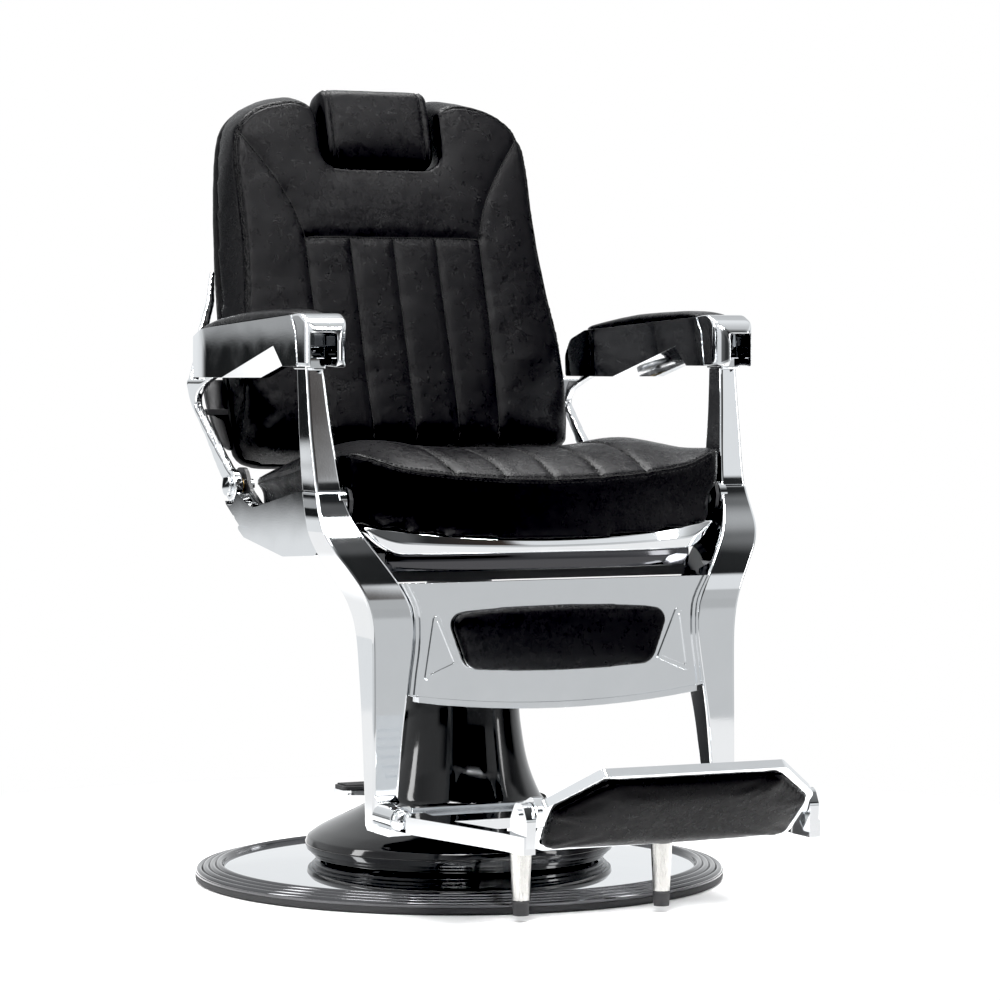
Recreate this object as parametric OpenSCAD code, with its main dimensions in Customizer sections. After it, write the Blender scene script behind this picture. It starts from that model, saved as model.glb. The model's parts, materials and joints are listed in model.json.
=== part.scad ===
// Barber chair: round floor base, hydraulic column, seat, reclining back with headrest,
// armrests, and a leg frame that carries the footrest.
// The floor is z = 0, the column stands on the z axis, and the sitter faces -y,
// so that the sitter's left is +x.

/* [Base] */
// Radius of the round floor base
base_r = 340; // [330:5:350]
// Number of raised rings on the base rim
rim_rings = 4; // [3:1:4]
// Outside radius of the black skirt dome
skirt_r = 199; // [190:1:205]
// Radius of the straight part of the column cover
column_r = 77; // [74:1:80]

/* [Hydraulics] */
// Radius of the lifting ram
ram_r = 25; // [22:1:27]
// Running clearance of shafts in their bores
gap = 0.05; // [0.03:0.01:0.08]

/* [Seat] */
// Half width of the seat cushion above the side plates
seat_hw = 255; // [250:1:256]
// Height of the flat board the seat cushion rests on
board_z = 452; // [448:1:454]
// Height of the crown of the seat cushion
seat_top = 568; // [560:1:570]

/* [Back] */
// Lean of the backrest from upright, in degrees
back_lean = 17.5; // [16:0.5:19]
// Length of the backrest cushion along its face
back_len = 474; // [470:1:480]
// Thickness of the backrest cushion
back_t = 58; // [54:1:60]

/* [Armrests] */
// Outside half width over the armrests
arm_out = 304; // [303:1:305]
// Width of one armrest
arm_w = 54; // [53:1:55]

/* [Leg frame] */
// Radius of the front legs under the footrest at their top
leg_r = 14; // [12:1:15]
// Spacing of the footrest legs from the centre plane
leg_x = 94; // [90:1:98]

/* [Hidden] */
$fn = 64;

// Pivot axes along x, as [y, z]
back_hinge = [125, 505];
leg_hinge = [-216, 495];
arm_front = [-184, 670];  // top of the post
arm_rear = [157, 680];    // top of the back bracket
foot_hinge = [-578, 155];
pedal_axis = [101, 71];
lever_axis = [112, 461];

hinge_pin_r = 8;
bush_r = 11;
small_pin_r = 6;  // armrest, lever and footplate pins

CHROME = [0.82, 0.83, 0.84];
BLACK = [0.05, 0.05, 0.05];
STEEL = [0.55, 0.56, 0.58];
RUBBER = [0.08, 0.08, 0.08];

// ---- helpers ----
// Points are [y, z] in side views, [x, z] in front views, [x, y] in plans
// and [radius, z] in turned profiles.
function unit(vector) = vector / norm(vector);
// arc in the corner at tip; it shrinks where the sides are too short for its radius
function corner(before, tip, after, radius, steps) =
  let (to_before = unit(before - tip),
    to_after = unit(after - tip),
    angle = acos(to_before * to_after),
    setback = min(radius / tan(angle / 2), 0.49 * min(norm(before - tip), norm(after - tip))),
    fitted = setback * tan(angle / 2),
    centre = tip + unit(to_before + to_after) * (fitted / sin(angle / 2)),
    first = tip + to_before * setback - centre,
    last = tip + to_after * setback - centre,
    start = atan2(first[1], first[0]),
    turn = ((atan2(last[1], last[0]) - start + 540) % 360) - 180)
  [for (i = [0:steps]) centre + fitted * [cos(start + turn * i / steps), sin(start + turn * i / steps)]];
// polygon with a radius at every corner (0 keeps the corner sharp)
function rounded(points, radii, steps = 4) =
  let (count = len(points))
  [for (i = [0:count - 1]) let (radius = is_list(radii) ? radii[i] : radii)
    each (radius <= 0 ? [points[i]]
      : corner(points[(i - 1 + count) % count], points[i], points[(i + 1) % count], radius, steps))];
// cubic between from and to at the fraction t
function spline(before, from, to, after, t) =
  0.5 * (2 * from + (to - before) * t + (2 * before - 5 * from + 4 * to - after) * t * t
    + (3 * from - before - 3 * to + after) * t * t * t);
// smooth curve through the points
function smooth(points, steps = 2) =
  let (last = len(points) - 1)
  [for (i = [0:last - 1]) for (j = [0:steps - 1])
      spline(points[max(i - 1, 0)], points[i], points[i + 1], points[min(i + 2, last)], j / steps),
    points[last]];
function reversed(points) = [for (i = [len(points) - 1:-1:0]) points[i]];
function flipped(points) = reversed([for (point = points) [-point[0], point[1]]]);
function shifted(points, offset) = [for (point = points) point + offset];

// prisms of a side view, a front view and a plan
module xprism(points, from, to)
  translate([from, 0, 0]) rotate([90, 0, 90]) linear_extrude(to - from) polygon(points);
module yprism(points, from, to)
  translate([0, to, 0]) rotate([90, 0, 0]) linear_extrude(to - from) polygon(points);
module zprism(points, from, to)
  translate([0, 0, from]) linear_extrude(to - from) polygon(points);
// cylinders along each axis; xcyl stands at a side-view point
module xcyl(radius, from, to, at)
  translate([from, at[0], at[1]]) rotate([0, 90, 0]) cylinder(h = to - from, r = radius);
module ycyl(radius, from, to, x, z)
  translate([x, to, z]) rotate([90, 0, 0]) cylinder(h = to - from, r = radius);
module zcyl(radius, from, to, x = 0, y = 0)
  translate([x, y, from]) cylinder(h = to - from, r = radius);
// block between [low, high] limits on each axis
module box(x, y, z)
  translate([x[0], y[0], z[0]]) cube([x[1] - x[0], y[1] - y[0], z[1] - z[0]]);
module mirrored() mirror([1, 0, 0]) children();
module both() {
  children();
  mirrored() children();
}
// turned parts about the z axis
module ring(points) rotate_extrude($fn = 128) polygon(points);
module tube(inner, outer, bottom, top)
  ring([[inner, bottom], [outer, bottom], [outer, top], [inner, top]]);

// ---- base ----
plate_top = 9;     // top of the base plate
flange_top = 21;   // top of the cylinder flange
bolt_circle_r = 75;
bolt_r = 5;
ring_pitch = 8.6;  // radial step between the raised rings
ring_rise = 2;     // step in height between them

module at_bolts() for (i = [0:5]) rotate([0, 0, i * 60 + 30]) translate([bolt_circle_r, 0, 0]) children();

module floor_ring() color(RUBBER)
  ring([[base_r - 17, 0], [base_r - 3, 0], [base_r, 2.5], [base_r, plate_top], [base_r - 17, plate_top]]);

module base_plate() color(STEEL) difference() {
  zcyl(base_r - 17.5, 0, plate_top);
  at_bolts() zcyl(bolt_r + gap, 1, 10);
}

module base_rim() color(CHROME)
  ring(concat([[base_r - 36, plate_top], [base_r, plate_top], [base_r, 12]],
    [for (k = [0:rim_rings - 1]) for (i = [0:6])
      [base_r - 5 - k * ring_pitch + 4 * cos(i * 30), 12.5 + k * ring_rise + 4.2 * sin(i * 30)]],
    [[base_r - 36, 16]]));

// shallow cone inside the rim
module base_disc() color(CHROME)
  ring([[92, 28.5], [base_r - 60, 18.5], [base_r - 40, 15.5], [base_r - 38.5, plate_top],
    [base_r - 36.5, plate_top], [base_r - 36.5, 16.5], [base_r - 60, 21], [92, 31]]);

// dome: stepped foot, wide lip, convex top that meets the column cover
dome_foot = [[skirt_r - 22, 29], [skirt_r - 15, 27.5], [skirt_r - 11, 30], [skirt_r - 11, 34],
  [skirt_r - 6, 34], [skirt_r - 6, 38], [skirt_r - 2, 38.5]];
dome_outside = [[skirt_r - 0.6, 42], [skirt_r, 49], [skirt_r - 7, 58], [skirt_r - 20, 66.5],
  [skirt_r - 42, 77], [skirt_r - 62, 86.5], [skirt_r - 80, 96.5], [112, 104]];
dome_inside = [[skirt_r - 4, 46], [skirt_r - 8, 54], [skirt_r - 22, 62.5], [skirt_r - 44, 73],
  [skirt_r - 64, 82.5], [skirt_r - 82, 92], [112, 100]];
foot_inside = [[skirt_r - 10, 42], [skirt_r - 15, 38], [skirt_r - 15, 31.5], [skirt_r - 22, 32]];
module skirt_dome() color(BLACK) difference() {
  ring(concat(dome_foot, smooth(dome_outside), reversed(smooth(dome_inside)), foot_inside));
  // slot for the pedal
  box([-16, 16], [120, 230], [34, 96]);
}

column_outside = [[111.8, 100], [104, 108], [98, 123], [92, 138], [87, 154], [80, 187], [column_r, 223]];
column_inside = [[109, 98], [101, 106], [95, 122], [84, 154], [77, 187], [column_r - 3, 223]];
column_lid = [[column_r, 330], [column_r - 4, 334], [ram_r + 4, 334], [ram_r + 4, 330],
  [column_r - 5, 330], [column_r - 3, 326]];
module column_cover() color(BLACK)
  ring(concat(smooth(column_outside), column_lid, reversed(smooth(column_inside))));

// ---- hydraulic unit ----
bore_r = 32;
reservoir_r = 60;
tube_top = 300;    // top of the cylinder and of the reservoir
gland_top = 322;
gland_groove = [306, 312];
piston_groove = [60, 66];
slack = 0.1;       // fixed slack of the seals and of the piston
plunger_r = 8;
plunger_y = 135;
pedal_pin_r = 5;
pedal_top = 80;    // top of the treadle

module hydraulic_cylinder() color(STEEL) difference() {
  ring([[0, plate_top], [90, plate_top], [90, flange_top], [45, flange_top], [45, tube_top],
    [bore_r, tube_top], [bore_r, 17], [0, 17]]);
  at_bolts() zcyl(bolt_r + gap, 8, 22);
}
module reservoir_tube() color(BLACK) tube(reservoir_r - 3, reservoir_r, flange_top, tube_top);
module gland_cap() color(STEEL) difference() {
  ring([[ram_r + gap, 284], [bore_r - gap, 284], [bore_r - gap, tube_top], [61, tube_top], [61, 318],
    [58, gland_top], [ram_r + gap, gland_top]]);
  tube(ram_r - 1, 30, gland_groove[0], gland_groove[1]);
}
module gland_seal() color(RUBBER)
  tube(ram_r + gap, 30 - slack, gland_groove[0] + slack, gland_groove[1] - slack);
module flange_bolts() color(STEEL) at_bolts() {
  zcyl(bolt_r, 1.5, flange_top);
  translate([0, 0, flange_top]) cylinder(h = 6.4, r = 9.2, $fn = 6);
}

// pump block behind the cylinder, with ears for the pedal pin
module pump_body() color(STEEL) difference() {
  union() {
    box([-30, 30], [92.5, 150], [31.2, 58]);
    both() box([20, 30], [92.5, 112], [31.2, 80]);
    // stubs between the block and the reservoir tube
    both() box([14, 26], [reservoir_r + 0.5, 93], [40, 52]);
  }
  zcyl(plunger_r + gap, 38, 59, 0, plunger_y);
  xcyl(pedal_pin_r + gap, -40, 40, pedal_axis);
}
module pedal_pin() color(STEEL) {
  xcyl(pedal_pin_r, -32, 32, pedal_axis);
  both() xcyl(7, 32, 34, pedal_axis);
}
module pump_plunger() color(STEEL) {
  zcyl(plunger_r, 46, 66, 0, plunger_y);
  zcyl(5, 66, 68.6, 0, plunger_y);
}

// foot lever: bar over the plunger and through the slot of the dome, treadle at its rear end
pedal_bar = rounded([[92, 63], [110, 63], [122, 70.5], [200, 68], [240, 66], [290, 73], [344, 74],
  [344, pedal_top], [288, pedal_top], [240, 78], [200, 80], [118, 82], [92, 80]],
  [5, 4, 0, 0, 6, 6, 2, 2, 6, 6, 4, 4, 5], 3);
treadle_plan = rounded([[-9, 285], [9, 285], [36, 300], [36, 344], [-36, 344], [-36, 300]],
  [6, 6, 8, 8, 8, 8]);
module pump_pedal() color(CHROME) difference() {
  union() {
    xprism(pedal_bar, -9, 9);
    zprism(treadle_plan, 74, pedal_top);
  }
  xcyl(pedal_pin_r + gap, -20, 20, pedal_axis);
}
module pedal_rubber() color(RUBBER) {
  zprism(rounded([[-34, 302], [34, 302], [34, 342], [-34, 342]], 7), pedal_top, pedal_top + 5);
  for (i = [0:5]) box([-30, 30], [305 + i * 6, 308 + i * 6], [pedal_top + 5, pedal_top + 7]);
}

// ---- ram ----
piston_z = 52;     // underside of the piston
ram_z = 76;        // underside of the full ram
ram_top = 372;     // shoulder under the swivel bearing
neck_r = 15;       // ram end inside the piston
spigot_r = 18;     // ram end inside the seat hub
module ram_rod() color(CHROME) {
  zcyl(neck_r, piston_z, ram_z);
  zcyl(ram_r, ram_z, ram_top);
  zcyl(spigot_r, ram_top, 398);
  zcyl(20, 48, piston_z);
}
module piston() color(STEEL) difference() {
  zcyl(bore_r - slack, piston_z + 0.2, ram_z - 0.2);
  zcyl(neck_r + gap, 50, 78);
  tube(28, 34, piston_groove[0], piston_groove[1]);
}
module piston_seal() color(RUBBER)
  tube(28.05, bore_r - slack, piston_groove[0] + slack, piston_groove[1] - slack);
module swivel_bearing() color("goldenrod") tube(spigot_r + gap, 38, ram_top + 0.1, 379.9);

// ---- seat ----
// side plate, [y, z]
side_plate = rounded([[-237.5, 498], [-235, 483], [-224, 474], [-208, 476], [-197, 481.5],
  [-188, 462], [-170, 444], [-110, 432], [40, 436], [108, 450], [140, 476], [152, 505], [140, 528],
  [112, 528], [92, 500], [60, 484], [-150, 484], [-196, 500], [-216, 517], [-232, 512]],
  [6, 8, 8, 4, 3, 8, 20, 20, 20, 20, 12, 14, 16, 14, 14, 16, 20, 14, 12, 8]);
frame_top = 440;   // top of the bars under the seat board
module seat_frame() color(BLACK) difference() {
  union() {
    both() xprism(side_plate, 247, 252);
    // hub and plate on the ram
    box([-120, 120], [-110, 110], [398, 406]);
    tube(0, 42, 380, 399);
    // cross bars kept high so that the side covers hide them
    box([-248, 248], [-140, -100], [428, frame_top]);
    box([-248, 248], [-20, 16], [431, frame_top]);
    both() box([90, 120], [-140, 96], [406, frame_top]);
    box([-120, 120], [60, 96], [406, frame_top]);
    // front panel under the cushion
    box([-205, 205], [-232, -226], [398, 411]);
    both() box([96, 120], [-232, -140], [406, 411]);
  }
  tube(0, spigot_r + gap, 379, 407);
  both() {
    xcyl(hinge_pin_r + gap, 240, 260, leg_hinge);
    xcyl(bush_r + gap, 240, 260, back_hinge);
  }
  xcyl(small_pin_r + gap, 240, 260, lever_axis);
}

// cast side cover: upper facet, ridge and lower facet, [y, z]
cover_side = rounded([[-179, 480], [-186, 462], [-183, 430], [-69, 423], [65, 441], [139, 481],
  [150, 500], [98, 497], [72, 486], [44, 479], [-29, 491], [-114, 505], [-136, 503], [-160, 495]],
  [8, 8, 12, 40, 30, 14, 4, 8, 20, 30, 40, 20, 10, 10]);
cover_facet = rounded([[-175, 486], [-185, 462], [-183, 430], [-69, 423], [65, 441], [100, 458],
  [59, 452], [-7, 459], [-143, 491]], [4, 8, 12, 40, 20, 4, 10, 40, 10]);
cover_hollow = rounded([[-160, 478], [-168, 440], [-69, 431], [60, 449], [40, 468], [-29, 481],
  [-114, 492]], 8, 3);
module seat_cover() difference() {
  union() {
    xprism(cover_side, 253, 268);
    // raised lower facet
    intersection() {
      xprism(cover_facet, 266, 272);
      box([260, 275], [-200, 200], [400, 520]);
    }
  }
  xcyl(26, 252.5, 280, back_hinge);
  xcyl(30, 252.5, 280, leg_hinge);
  xcyl(small_pin_r + gap, 240, 280, lever_axis);
  // hollow inner side
  xprism(cover_hollow, 252, 262);
}
module seat_cover_left() color(CHROME) seat_cover();
module seat_cover_right() color(CHROME) mirrored() seat_cover();

module seat_board() color("burlywood")
  zprism(rounded([[-226, -205], [226, -205], [226, 92], [-226, 92]], 24), board_z - 12, board_z);

// plan of the front edge, which sweeps back towards its ends; span is the half width of the bow
function bow_line(half_width, front, span = 250, steps = 16) =
  [for (i = [0:steps]) let (x = -half_width + 2 * half_width * i / steps)
    [x, front + 46 * pow(abs(x) / span, 3)]];
function seat_plan(half_width, front, rear) = concat(bow_line(half_width, front, half_width),
  corner([half_width, -200], [half_width, rear], [0, rear], 34, 5),
  corner([0, rear], [-half_width, rear], [-half_width, -200], 34, 5));
// front view of the crescent trim, with its upper edge raised by extra
function trim_profile(extra) = concat([[-234, 459], [-226, 448], [-214, 437], [-198, 433],
    [198, 433], [214, 437], [226, 448], [234, 459]],
  [for (i = [0:16]) let (x = 234 - 468 * i / 16) [x, 448.2 + extra + 20 * pow(x / 245, 2)]]);
module trim_band(front, rear, extra) intersection() {
  zprism(concat(bow_line(236, front), reversed(bow_line(236, rear))), 430, 472);
  yprism(trim_profile(extra), -310, -215);
}
cushion_side = rounded([[-280, board_z], [97, board_z], [98, 516], [84, 540], [-40, 564],
  [-120, seat_top], [-220, 562], [-275, 540], [-289, 515], [-289, 465]],
  [4, 6, 14, 30, 60, 60, 40, 20, 20, 10]);
module seat_cushion() color(BLACK) difference() {
  intersection() {
    union() {
      zprism(seat_plan(236.5, -283, 96), board_z, 519);
      zprism(seat_plan(seat_hw, -285, 97), 518, seat_top);
    }
    xprism(cushion_side, -270, 270);
  }
  // recess for the trim
  trim_band(-300, -269.7, 0.3);
}
// crescent of bright trim below the front of the cushion
module front_trim() color(CHROME) trim_band(-283, -270, 0);
module front_apron() color(CHROME) {
  rear_edge = bow_line(206, -262, steps = 14);
  zprism(concat(bow_line(206, -266, steps = 14), reversed(rear_edge)), 411.1, 439.8);
  zprism(concat(rear_edge, [[206, -206], [-206, -206]]), 437, 439.8);
}
module leg_pivot_pins() color(STEEL) both() {
  xcyl(hinge_pin_r, 245.4, 287, leg_hinge);
  xcyl(11, 243.6, 246.9, leg_hinge);
}
module back_bushes() color("goldenrod") both() difference() {
  xcyl(bush_r, 246.5, 252.5, back_hinge);
  xcyl(hinge_pin_r + gap, 240, 260, back_hinge);
}

// lever at the sitter's left that opens the recline brake
brake_shoe = rounded([[104, 453], [120, 453], [124, 470], [132, 478.6], [118, 478.8], [106, 470]],
  [5, 5, 3, 1, 1, 3], 3);
lever_side = rounded([[124, 454], [124, 468], [100, 470], [20, 478], [-20, 478], [-20, 470],
  [6, 470], [18, 468], [98, 454]], [6, 6, 6, 6, 1, 1, 2, 4, 6]);
disc_x = [235, 242];   // brake shoe and lock disc
lever_x = [277, 284];
module recline_lever() color(CHROME) {
  xcyl(small_pin_r, 233, lever_x[1], lever_axis);
  // brake shoe that faces the disc
  xprism(brake_shoe, disc_x[0], disc_x[1]);
  xprism(lever_side, lever_x[0], lever_x[1]);
}
module lever_grip() color(BLACK) difference() {
  xprism(rounded([[2, 466], [2, 482], [-66, 484], [-66, 464]], [5, 5, 9, 9], 5), 273.4, 287.6);
  xprism([[3, 470], [3, 478], [-20, 478], [-20, 470]], lever_x[0], lever_x[1]);
}

// ---- back ----
// Frame of the backrest: x across, y up along the face, z out of the front face
module back_place()
  translate([0, back_hinge[0], 553]) rotate([90 - back_lean, 0, 0]) children();

// bar from the hinge up to the armrest pivot and back to the strap, [y, z]
bracket_bar = rounded([[107, 505], [120, 522], [136, 533], [187, 571], [234, 610], [222, 624],
  [190, 636], [160, 644], [143, 664], [143, 680], [171, 680], [178, 662], [190, 642], [252, 641.6],
  [260, 638.4], [255, 622], [246, 606], [198, 562], [168, 528], [143, 505]],
  [2, 10, 20, 60, 8, 20, 20, 10, 8, 2, 2, 10, 10, 3, 3, 20, 14, 60, 30, 2]);
// strap that carries on behind the armrest and up beside the backrest, [x, z] from its foot
strap = rounded([[263, 0], [276, 0], [271, 40], [263, 72], [249, 106], [241, 142], [235, 142],
  [238, 104], [251, 68], [258, 38]], [0, 0, 30, 30, 30, 3, 3, 30, 30, 30]);
module back_bracket() difference() {
  union() {
    xcyl(20, 255, 268, back_hinge);
    // the bar leans outward on its way up
    translate([261.5, 0, back_hinge[1]]) rotate([0, 4.2, 0]) translate([-261.5, 0, -back_hinge[1]])
      xprism(bracket_bar, 256.5, 268);
    translate([0, 250, 636]) rotate([-12.3, 0, 0]) yprism(strap, 0, 8);
    xcyl(14, 270, 281, arm_rear);
  }
  xcyl(hinge_pin_r + gap, 250, 290, back_hinge);
  xcyl(small_pin_r + gap, 250, 290, arm_rear);
}
module back_bracket_left() color(CHROME) back_bracket();
module back_bracket_right() color(CHROME) mirrored() back_bracket();

// pair of headrest rods, guides or bores in the frame of the backrest
rod_r = 6;
guide_r = 10;
module rod_pair(radius, start, length) for (side = [-1, 1])
  translate([side * 45, start, -30]) rotate([-90, 0, 0]) cylinder(h = length, r = radius);

// flat steel frame behind the cushion; its lower bar reaches both brackets
steel_z = [-back_t - 19, -back_t - 11];
frame_tab = rounded([[206, 206], [238, 206], [262.8, 219], [262.8, 230], [236, 217], [206, 217]],
  [2, 10, 1, 1, 10, 2], 3);
module back_frame() color(BLACK) {
  back_place() difference() {
    union() {
      both() box([140, 165], [20, 379], steel_z);
      box([-165, 165], [20, 45], steel_z);
      box([-165, 165], [352, 379], steel_z);
      // link over the notch to the headrest guides
      box([-58, 58], [376, 392], steel_z);
      box([-58, 58], [389.4, 392], [steel_z[0], -18]);
      box([-215, 215], [60, 90], steel_z);
      rod_pair(guide_r, 262, 130);
    }
    rod_pair(rod_r + gap, 250, 150);
  }
  both() zprism(frame_tab, 594, 602);
}

// Half outlines of the back, from the bottom centre round to the headrest notch, drawn in by
// inset. The front has full sides and rounded shoulders; the rear is wider and taller.
function front_half(inset) = [[0, inset - 8], [188, inset - 8], [226 - inset, 4 + inset],
  [232 - inset, 62], [222.5 - inset, 175], [213.5 - inset, 275], [212.5 - inset, 376],
  [207 - inset, 426], [193 - inset, back_len - 19 - inset], [168, back_len + 2 - inset],
  [140, back_len + 6 - inset], [90 + inset, back_len + 4 - inset]];
front_radii = [0, 20, 20, 60, 60, 60, 60, 40, 20, 20, 20, 6, 20, 0];
function rear_half(inset) = [[0, inset - 10], [204, inset - 10], [233 - inset, 4 + inset],
  [240 - inset, 62], [237 - inset, 175], [233 - inset, 262], [228 - inset, 316],
  [219 - inset, 391], [212 - inset, 435], [205 - inset, 461], [188 - inset, 481 - inset],
  [150, 501 - inset], [120, 508 - inset], [88 + inset, 511 - inset]];
rear_radii = [0, 20, 20, 60, 60, 60, 60, 60, 40, 20, 20, 20, 20, 5, 20, 0];
// whole outline with the floor of the notch added
function notched(half, radii, inset) =
  let (side = rounded(concat(half, [[88 + inset, 388 - inset], [0, 388 - inset]]), radii, 3))
  concat(side, flipped([for (i = [1:len(side) - 2]) side[i]]));
function front_outline(inset) = notched(front_half(inset), front_radii, inset);
function rear_outline(inset) = notched(rear_half(inset), rear_radii, inset);
pan_inset = 7;   // wall of the rear pan

module back_board() color("burlywood") back_place() difference() {
  zprism(front_outline(8.5), -back_t - 10.5, -back_t - 0.5);
  both() box([200, 230], [50, 95], [-90, -60]);
}
module back_cushion() color(BLACK) back_place() difference() {
  union() {
    zprism(front_outline(0), -31, 0);
    zprism(rear_outline(pan_inset), -back_t, -30);
  }
  rod_pair(guide_r + 0.2, 255, 150);
}
// moulded pan that closes the back
module back_shell() color(BLACK) back_place() difference() {
  zprism(rear_outline(0), -back_t - 26, -back_t - 0.6);
  zprism(rear_outline(pan_inset), -back_t - 22, -back_t + 6);
  both() box([190, 250], [50, 95], [-back_t - 21, -50]);
  box([-59, 59], [370, 392], [-back_t - 19.2, -50]);
}
module back_pivot_pins() color(CHROME) both() {
  xcyl(hinge_pin_r, 236, 269.8, back_hinge);
  xcyl(13, 269.8, 273.2, back_hinge);
}
module lock_disc() color(STEEL) difference() {
  xcyl(25.5, disc_x[0], disc_x[1], back_hinge);
  xcyl(hinge_pin_r + gap, 230, 245, back_hinge);
}
module arm_rear_pins() color(STEEL) both() xcyl(small_pin_r, 263, 287, arm_rear);

// ---- headrest ----
// side view in the frame of the backrest, [y, z]
headrest_side = rounded([[394, -60], [394, -4], [400, 0], [490, 2], [505, -12], [505, -48],
  [494, -60]], [12, 10, 10, 16, 14, 14, 10]);
module headrest_cushion() color(BLACK) back_place() difference() {
  xprism(headrest_side, -78, 78);
  rod_pair(rod_r + gap, 390, 80);
}
module headrest_rods() color(CHROME) back_place() rod_pair(rod_r, 275, 190);

// ---- armrests ----
arm_in = arm_out - arm_w;
arm_side = rounded([[200, 644], [58, 644], [-119, 684.5], [-150, 659], [-197, 659], [-190, 702],
  [-176, 721], [-60, 716], [142, 706], [186, 694], [202, 672]],
  [4, 20, 3, 4, 0, 0, 0, 60, 30, 20, 16]);
arm_plan = [[arm_in, -240], [arm_out, -240], [arm_out, 101], [arm_out - 6, 176],
  [arm_out - 16, 204], [arm_in, 204]];
// keel under the armrest: two sloping facets that meet along its middle
keel_side = [[66, 644], [-24, 644.6], [-100, 661], [-138, 669], [-119, 686], [66, 646]];
module facet_cut() translate([arm_out, 58, 644]) rotate([-12.6, 0, 0]) rotate([0, -38.8, 0])
  box([-90, 40], [-260, 80], [-60, 0]);
module arm_keel() difference() {
  xprism(keel_side, arm_in, arm_out);
  facet_cut();
  translate([arm_out + arm_in, 0, 0]) mirrored() facet_cut();
}
module arm_body() difference() {
  union() {
    intersection() {
      xprism(arm_side, arm_in, arm_out);
      zprism(arm_plan, 600, 760);
    }
    arm_keel();
  }
  // room for the post and for the back bracket
  box([268, 299], [-240, -160], [640, 699]);
  xprism([[84, 640], [84, 668], [112, 702], [184, 702], [194, 640]], 264, 287.5);
  box([254, 300], [-150, 70], [690, 701]);
  xcyl(6.5, 255, 301, arm_front);
  xcyl(small_pin_r + gap, 262, 287.5, arm_rear);
}
// rounded front end of the armrest
cap_side = rounded([[-197.5, 659], [-190.5, 702], [-176.3, 722], [-205, 724], [-238, 708],
  [-240, 657]], [0, 0, 0, 26, 34, 10], 6);
cap_plan = rounded([[arm_in - 0.5, -170], [arm_in - 0.5, -240], [arm_out + 0.5, -240],
  [arm_out + 0.5, -170]], [0, 24, 22, 0], 6);
module arm_cap() difference() {
  intersection() {
    xprism(cap_side, arm_in - 0.5, arm_out + 0.5);
    zprism(cap_plan, 640, 760);
  }
  box([268, 299], [-250, -150], [640, 699]);
  xcyl(6.5, 255, 301, arm_front);
}
pad_side = rounded([[152, 706.4], [-60, 717.2], [-172, 722], [-172, 726], [-120, 729], [0, 727],
  [100, 718.5], [150, 711]], [1, 0, 1, 3, 30, 60, 40, 3]);
pad_plan = rounded([[arm_in + 3, -172], [arm_out - 4, -172], [arm_out - 4, 100],
  [arm_out - 12, 152], [arm_in + 8, 152], [arm_in + 3, 100]], [4, 4, 20, 12, 12, 20]);
module arm_pad() intersection() {
  xprism(pad_side, arm_in + 3, arm_out - 4);
  zprism(pad_plan, 700, 740);
}
module arm_left_frame() color(CHROME) arm_body();
module arm_left_cap() color(CHROME) arm_cap();
module arm_left_pad() color(BLACK) arm_pad();
module arm_right_frame() color(CHROME) mirrored() arm_body();
module arm_right_cap() color(CHROME) mirrored() arm_cap();
module arm_right_pad() color(BLACK) mirrored() arm_pad();

// ---- leg frame ----
// edges of the left post from the top down: outer and inner [x, z], front and back [y, z]
post_outer = smooth([[294, 656], [294, 600], [293, 540], [293, 500], [294, 474], [291, 452],
  [282, 434], [268, 412], [255, 388], [248, 364], [244.5, 335], [244, 280], [244.5, 200], [245, 105]]);
post_inner = smooth([[271, 656], [267, 600], [262, 550], [257.5, 505], [253, 482], [240, 451],
  [226, 428], [211, 403], [198, 378], [192, 352], [193, 322], [199, 275], [207, 215], [216, 105]]);
post_front = smooth([[-203, 656], [-213, 590], [-224, 534], [-231, 508], [-243, 483], [-266, 450],
  [-280, 420], [-288, 396], [-291, 368], [-291, 300], [-291.5, 220], [-291, 105]]);
post_back = smooth([[-171, 656], [-176, 590], [-180, 534], [-185, 508], [-198, 478], [-206, 450],
  [-212, 415], [-221, 388], [-234, 355], [-244, 300], [-254, 230], [-262, 160], [-267, 105]]);
module post() difference() {
  union() {
    intersection() {
      yprism(concat(post_outer, reversed(post_inner)), -320, -150);
      xprism(concat(post_front, reversed(post_back)), 180, 310);
    }
    // collar and knuckle under the armrest
    box([270, 297], [-209, -166], [655, 669]);
    xcyl(14, 272, 296, arm_front);
    box([272, 296], [-198, -170], [660, 670]);
    // bearing boss of the leg frame hinge
    xcyl(20, 254, 262, leg_hinge);
  }
  // recess that turns round the rounded end of the side plate
  xcyl(24, 230, 252.7, leg_hinge);
  xcyl(bush_r + gap, 250, 288, leg_hinge);
  xcyl(small_pin_r + gap, 250, 300, arm_front);
}
module post_left() color(CHROME) post();
module post_right() color(CHROME) mirrored() post();
module leg_bushes() color("goldenrod") both() difference() {
  xcyl(bush_r, 255, 287.5, leg_hinge);
  xcyl(hinge_pin_r + gap, 250, 290, leg_hinge);
}
module arm_front_pins() color(STEEL) both() xcyl(small_pin_r, 259, 299.5, arm_front);

// calf panel between the posts, with raised beads; side edge and bowed lower edge, [x, z]
panel_edge = smooth([[194, 266], [191, 292], [187, 320], [186, 348], [189, 372], [203, 400]], 3);
function panel_low(half_width, rise = 0) =
  [for (i = [0:12]) let (x = -half_width + 2 * half_width * i / 12)
    [x, 250 + rise + 14 * pow(abs(x) / 192, 2)]];
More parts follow.
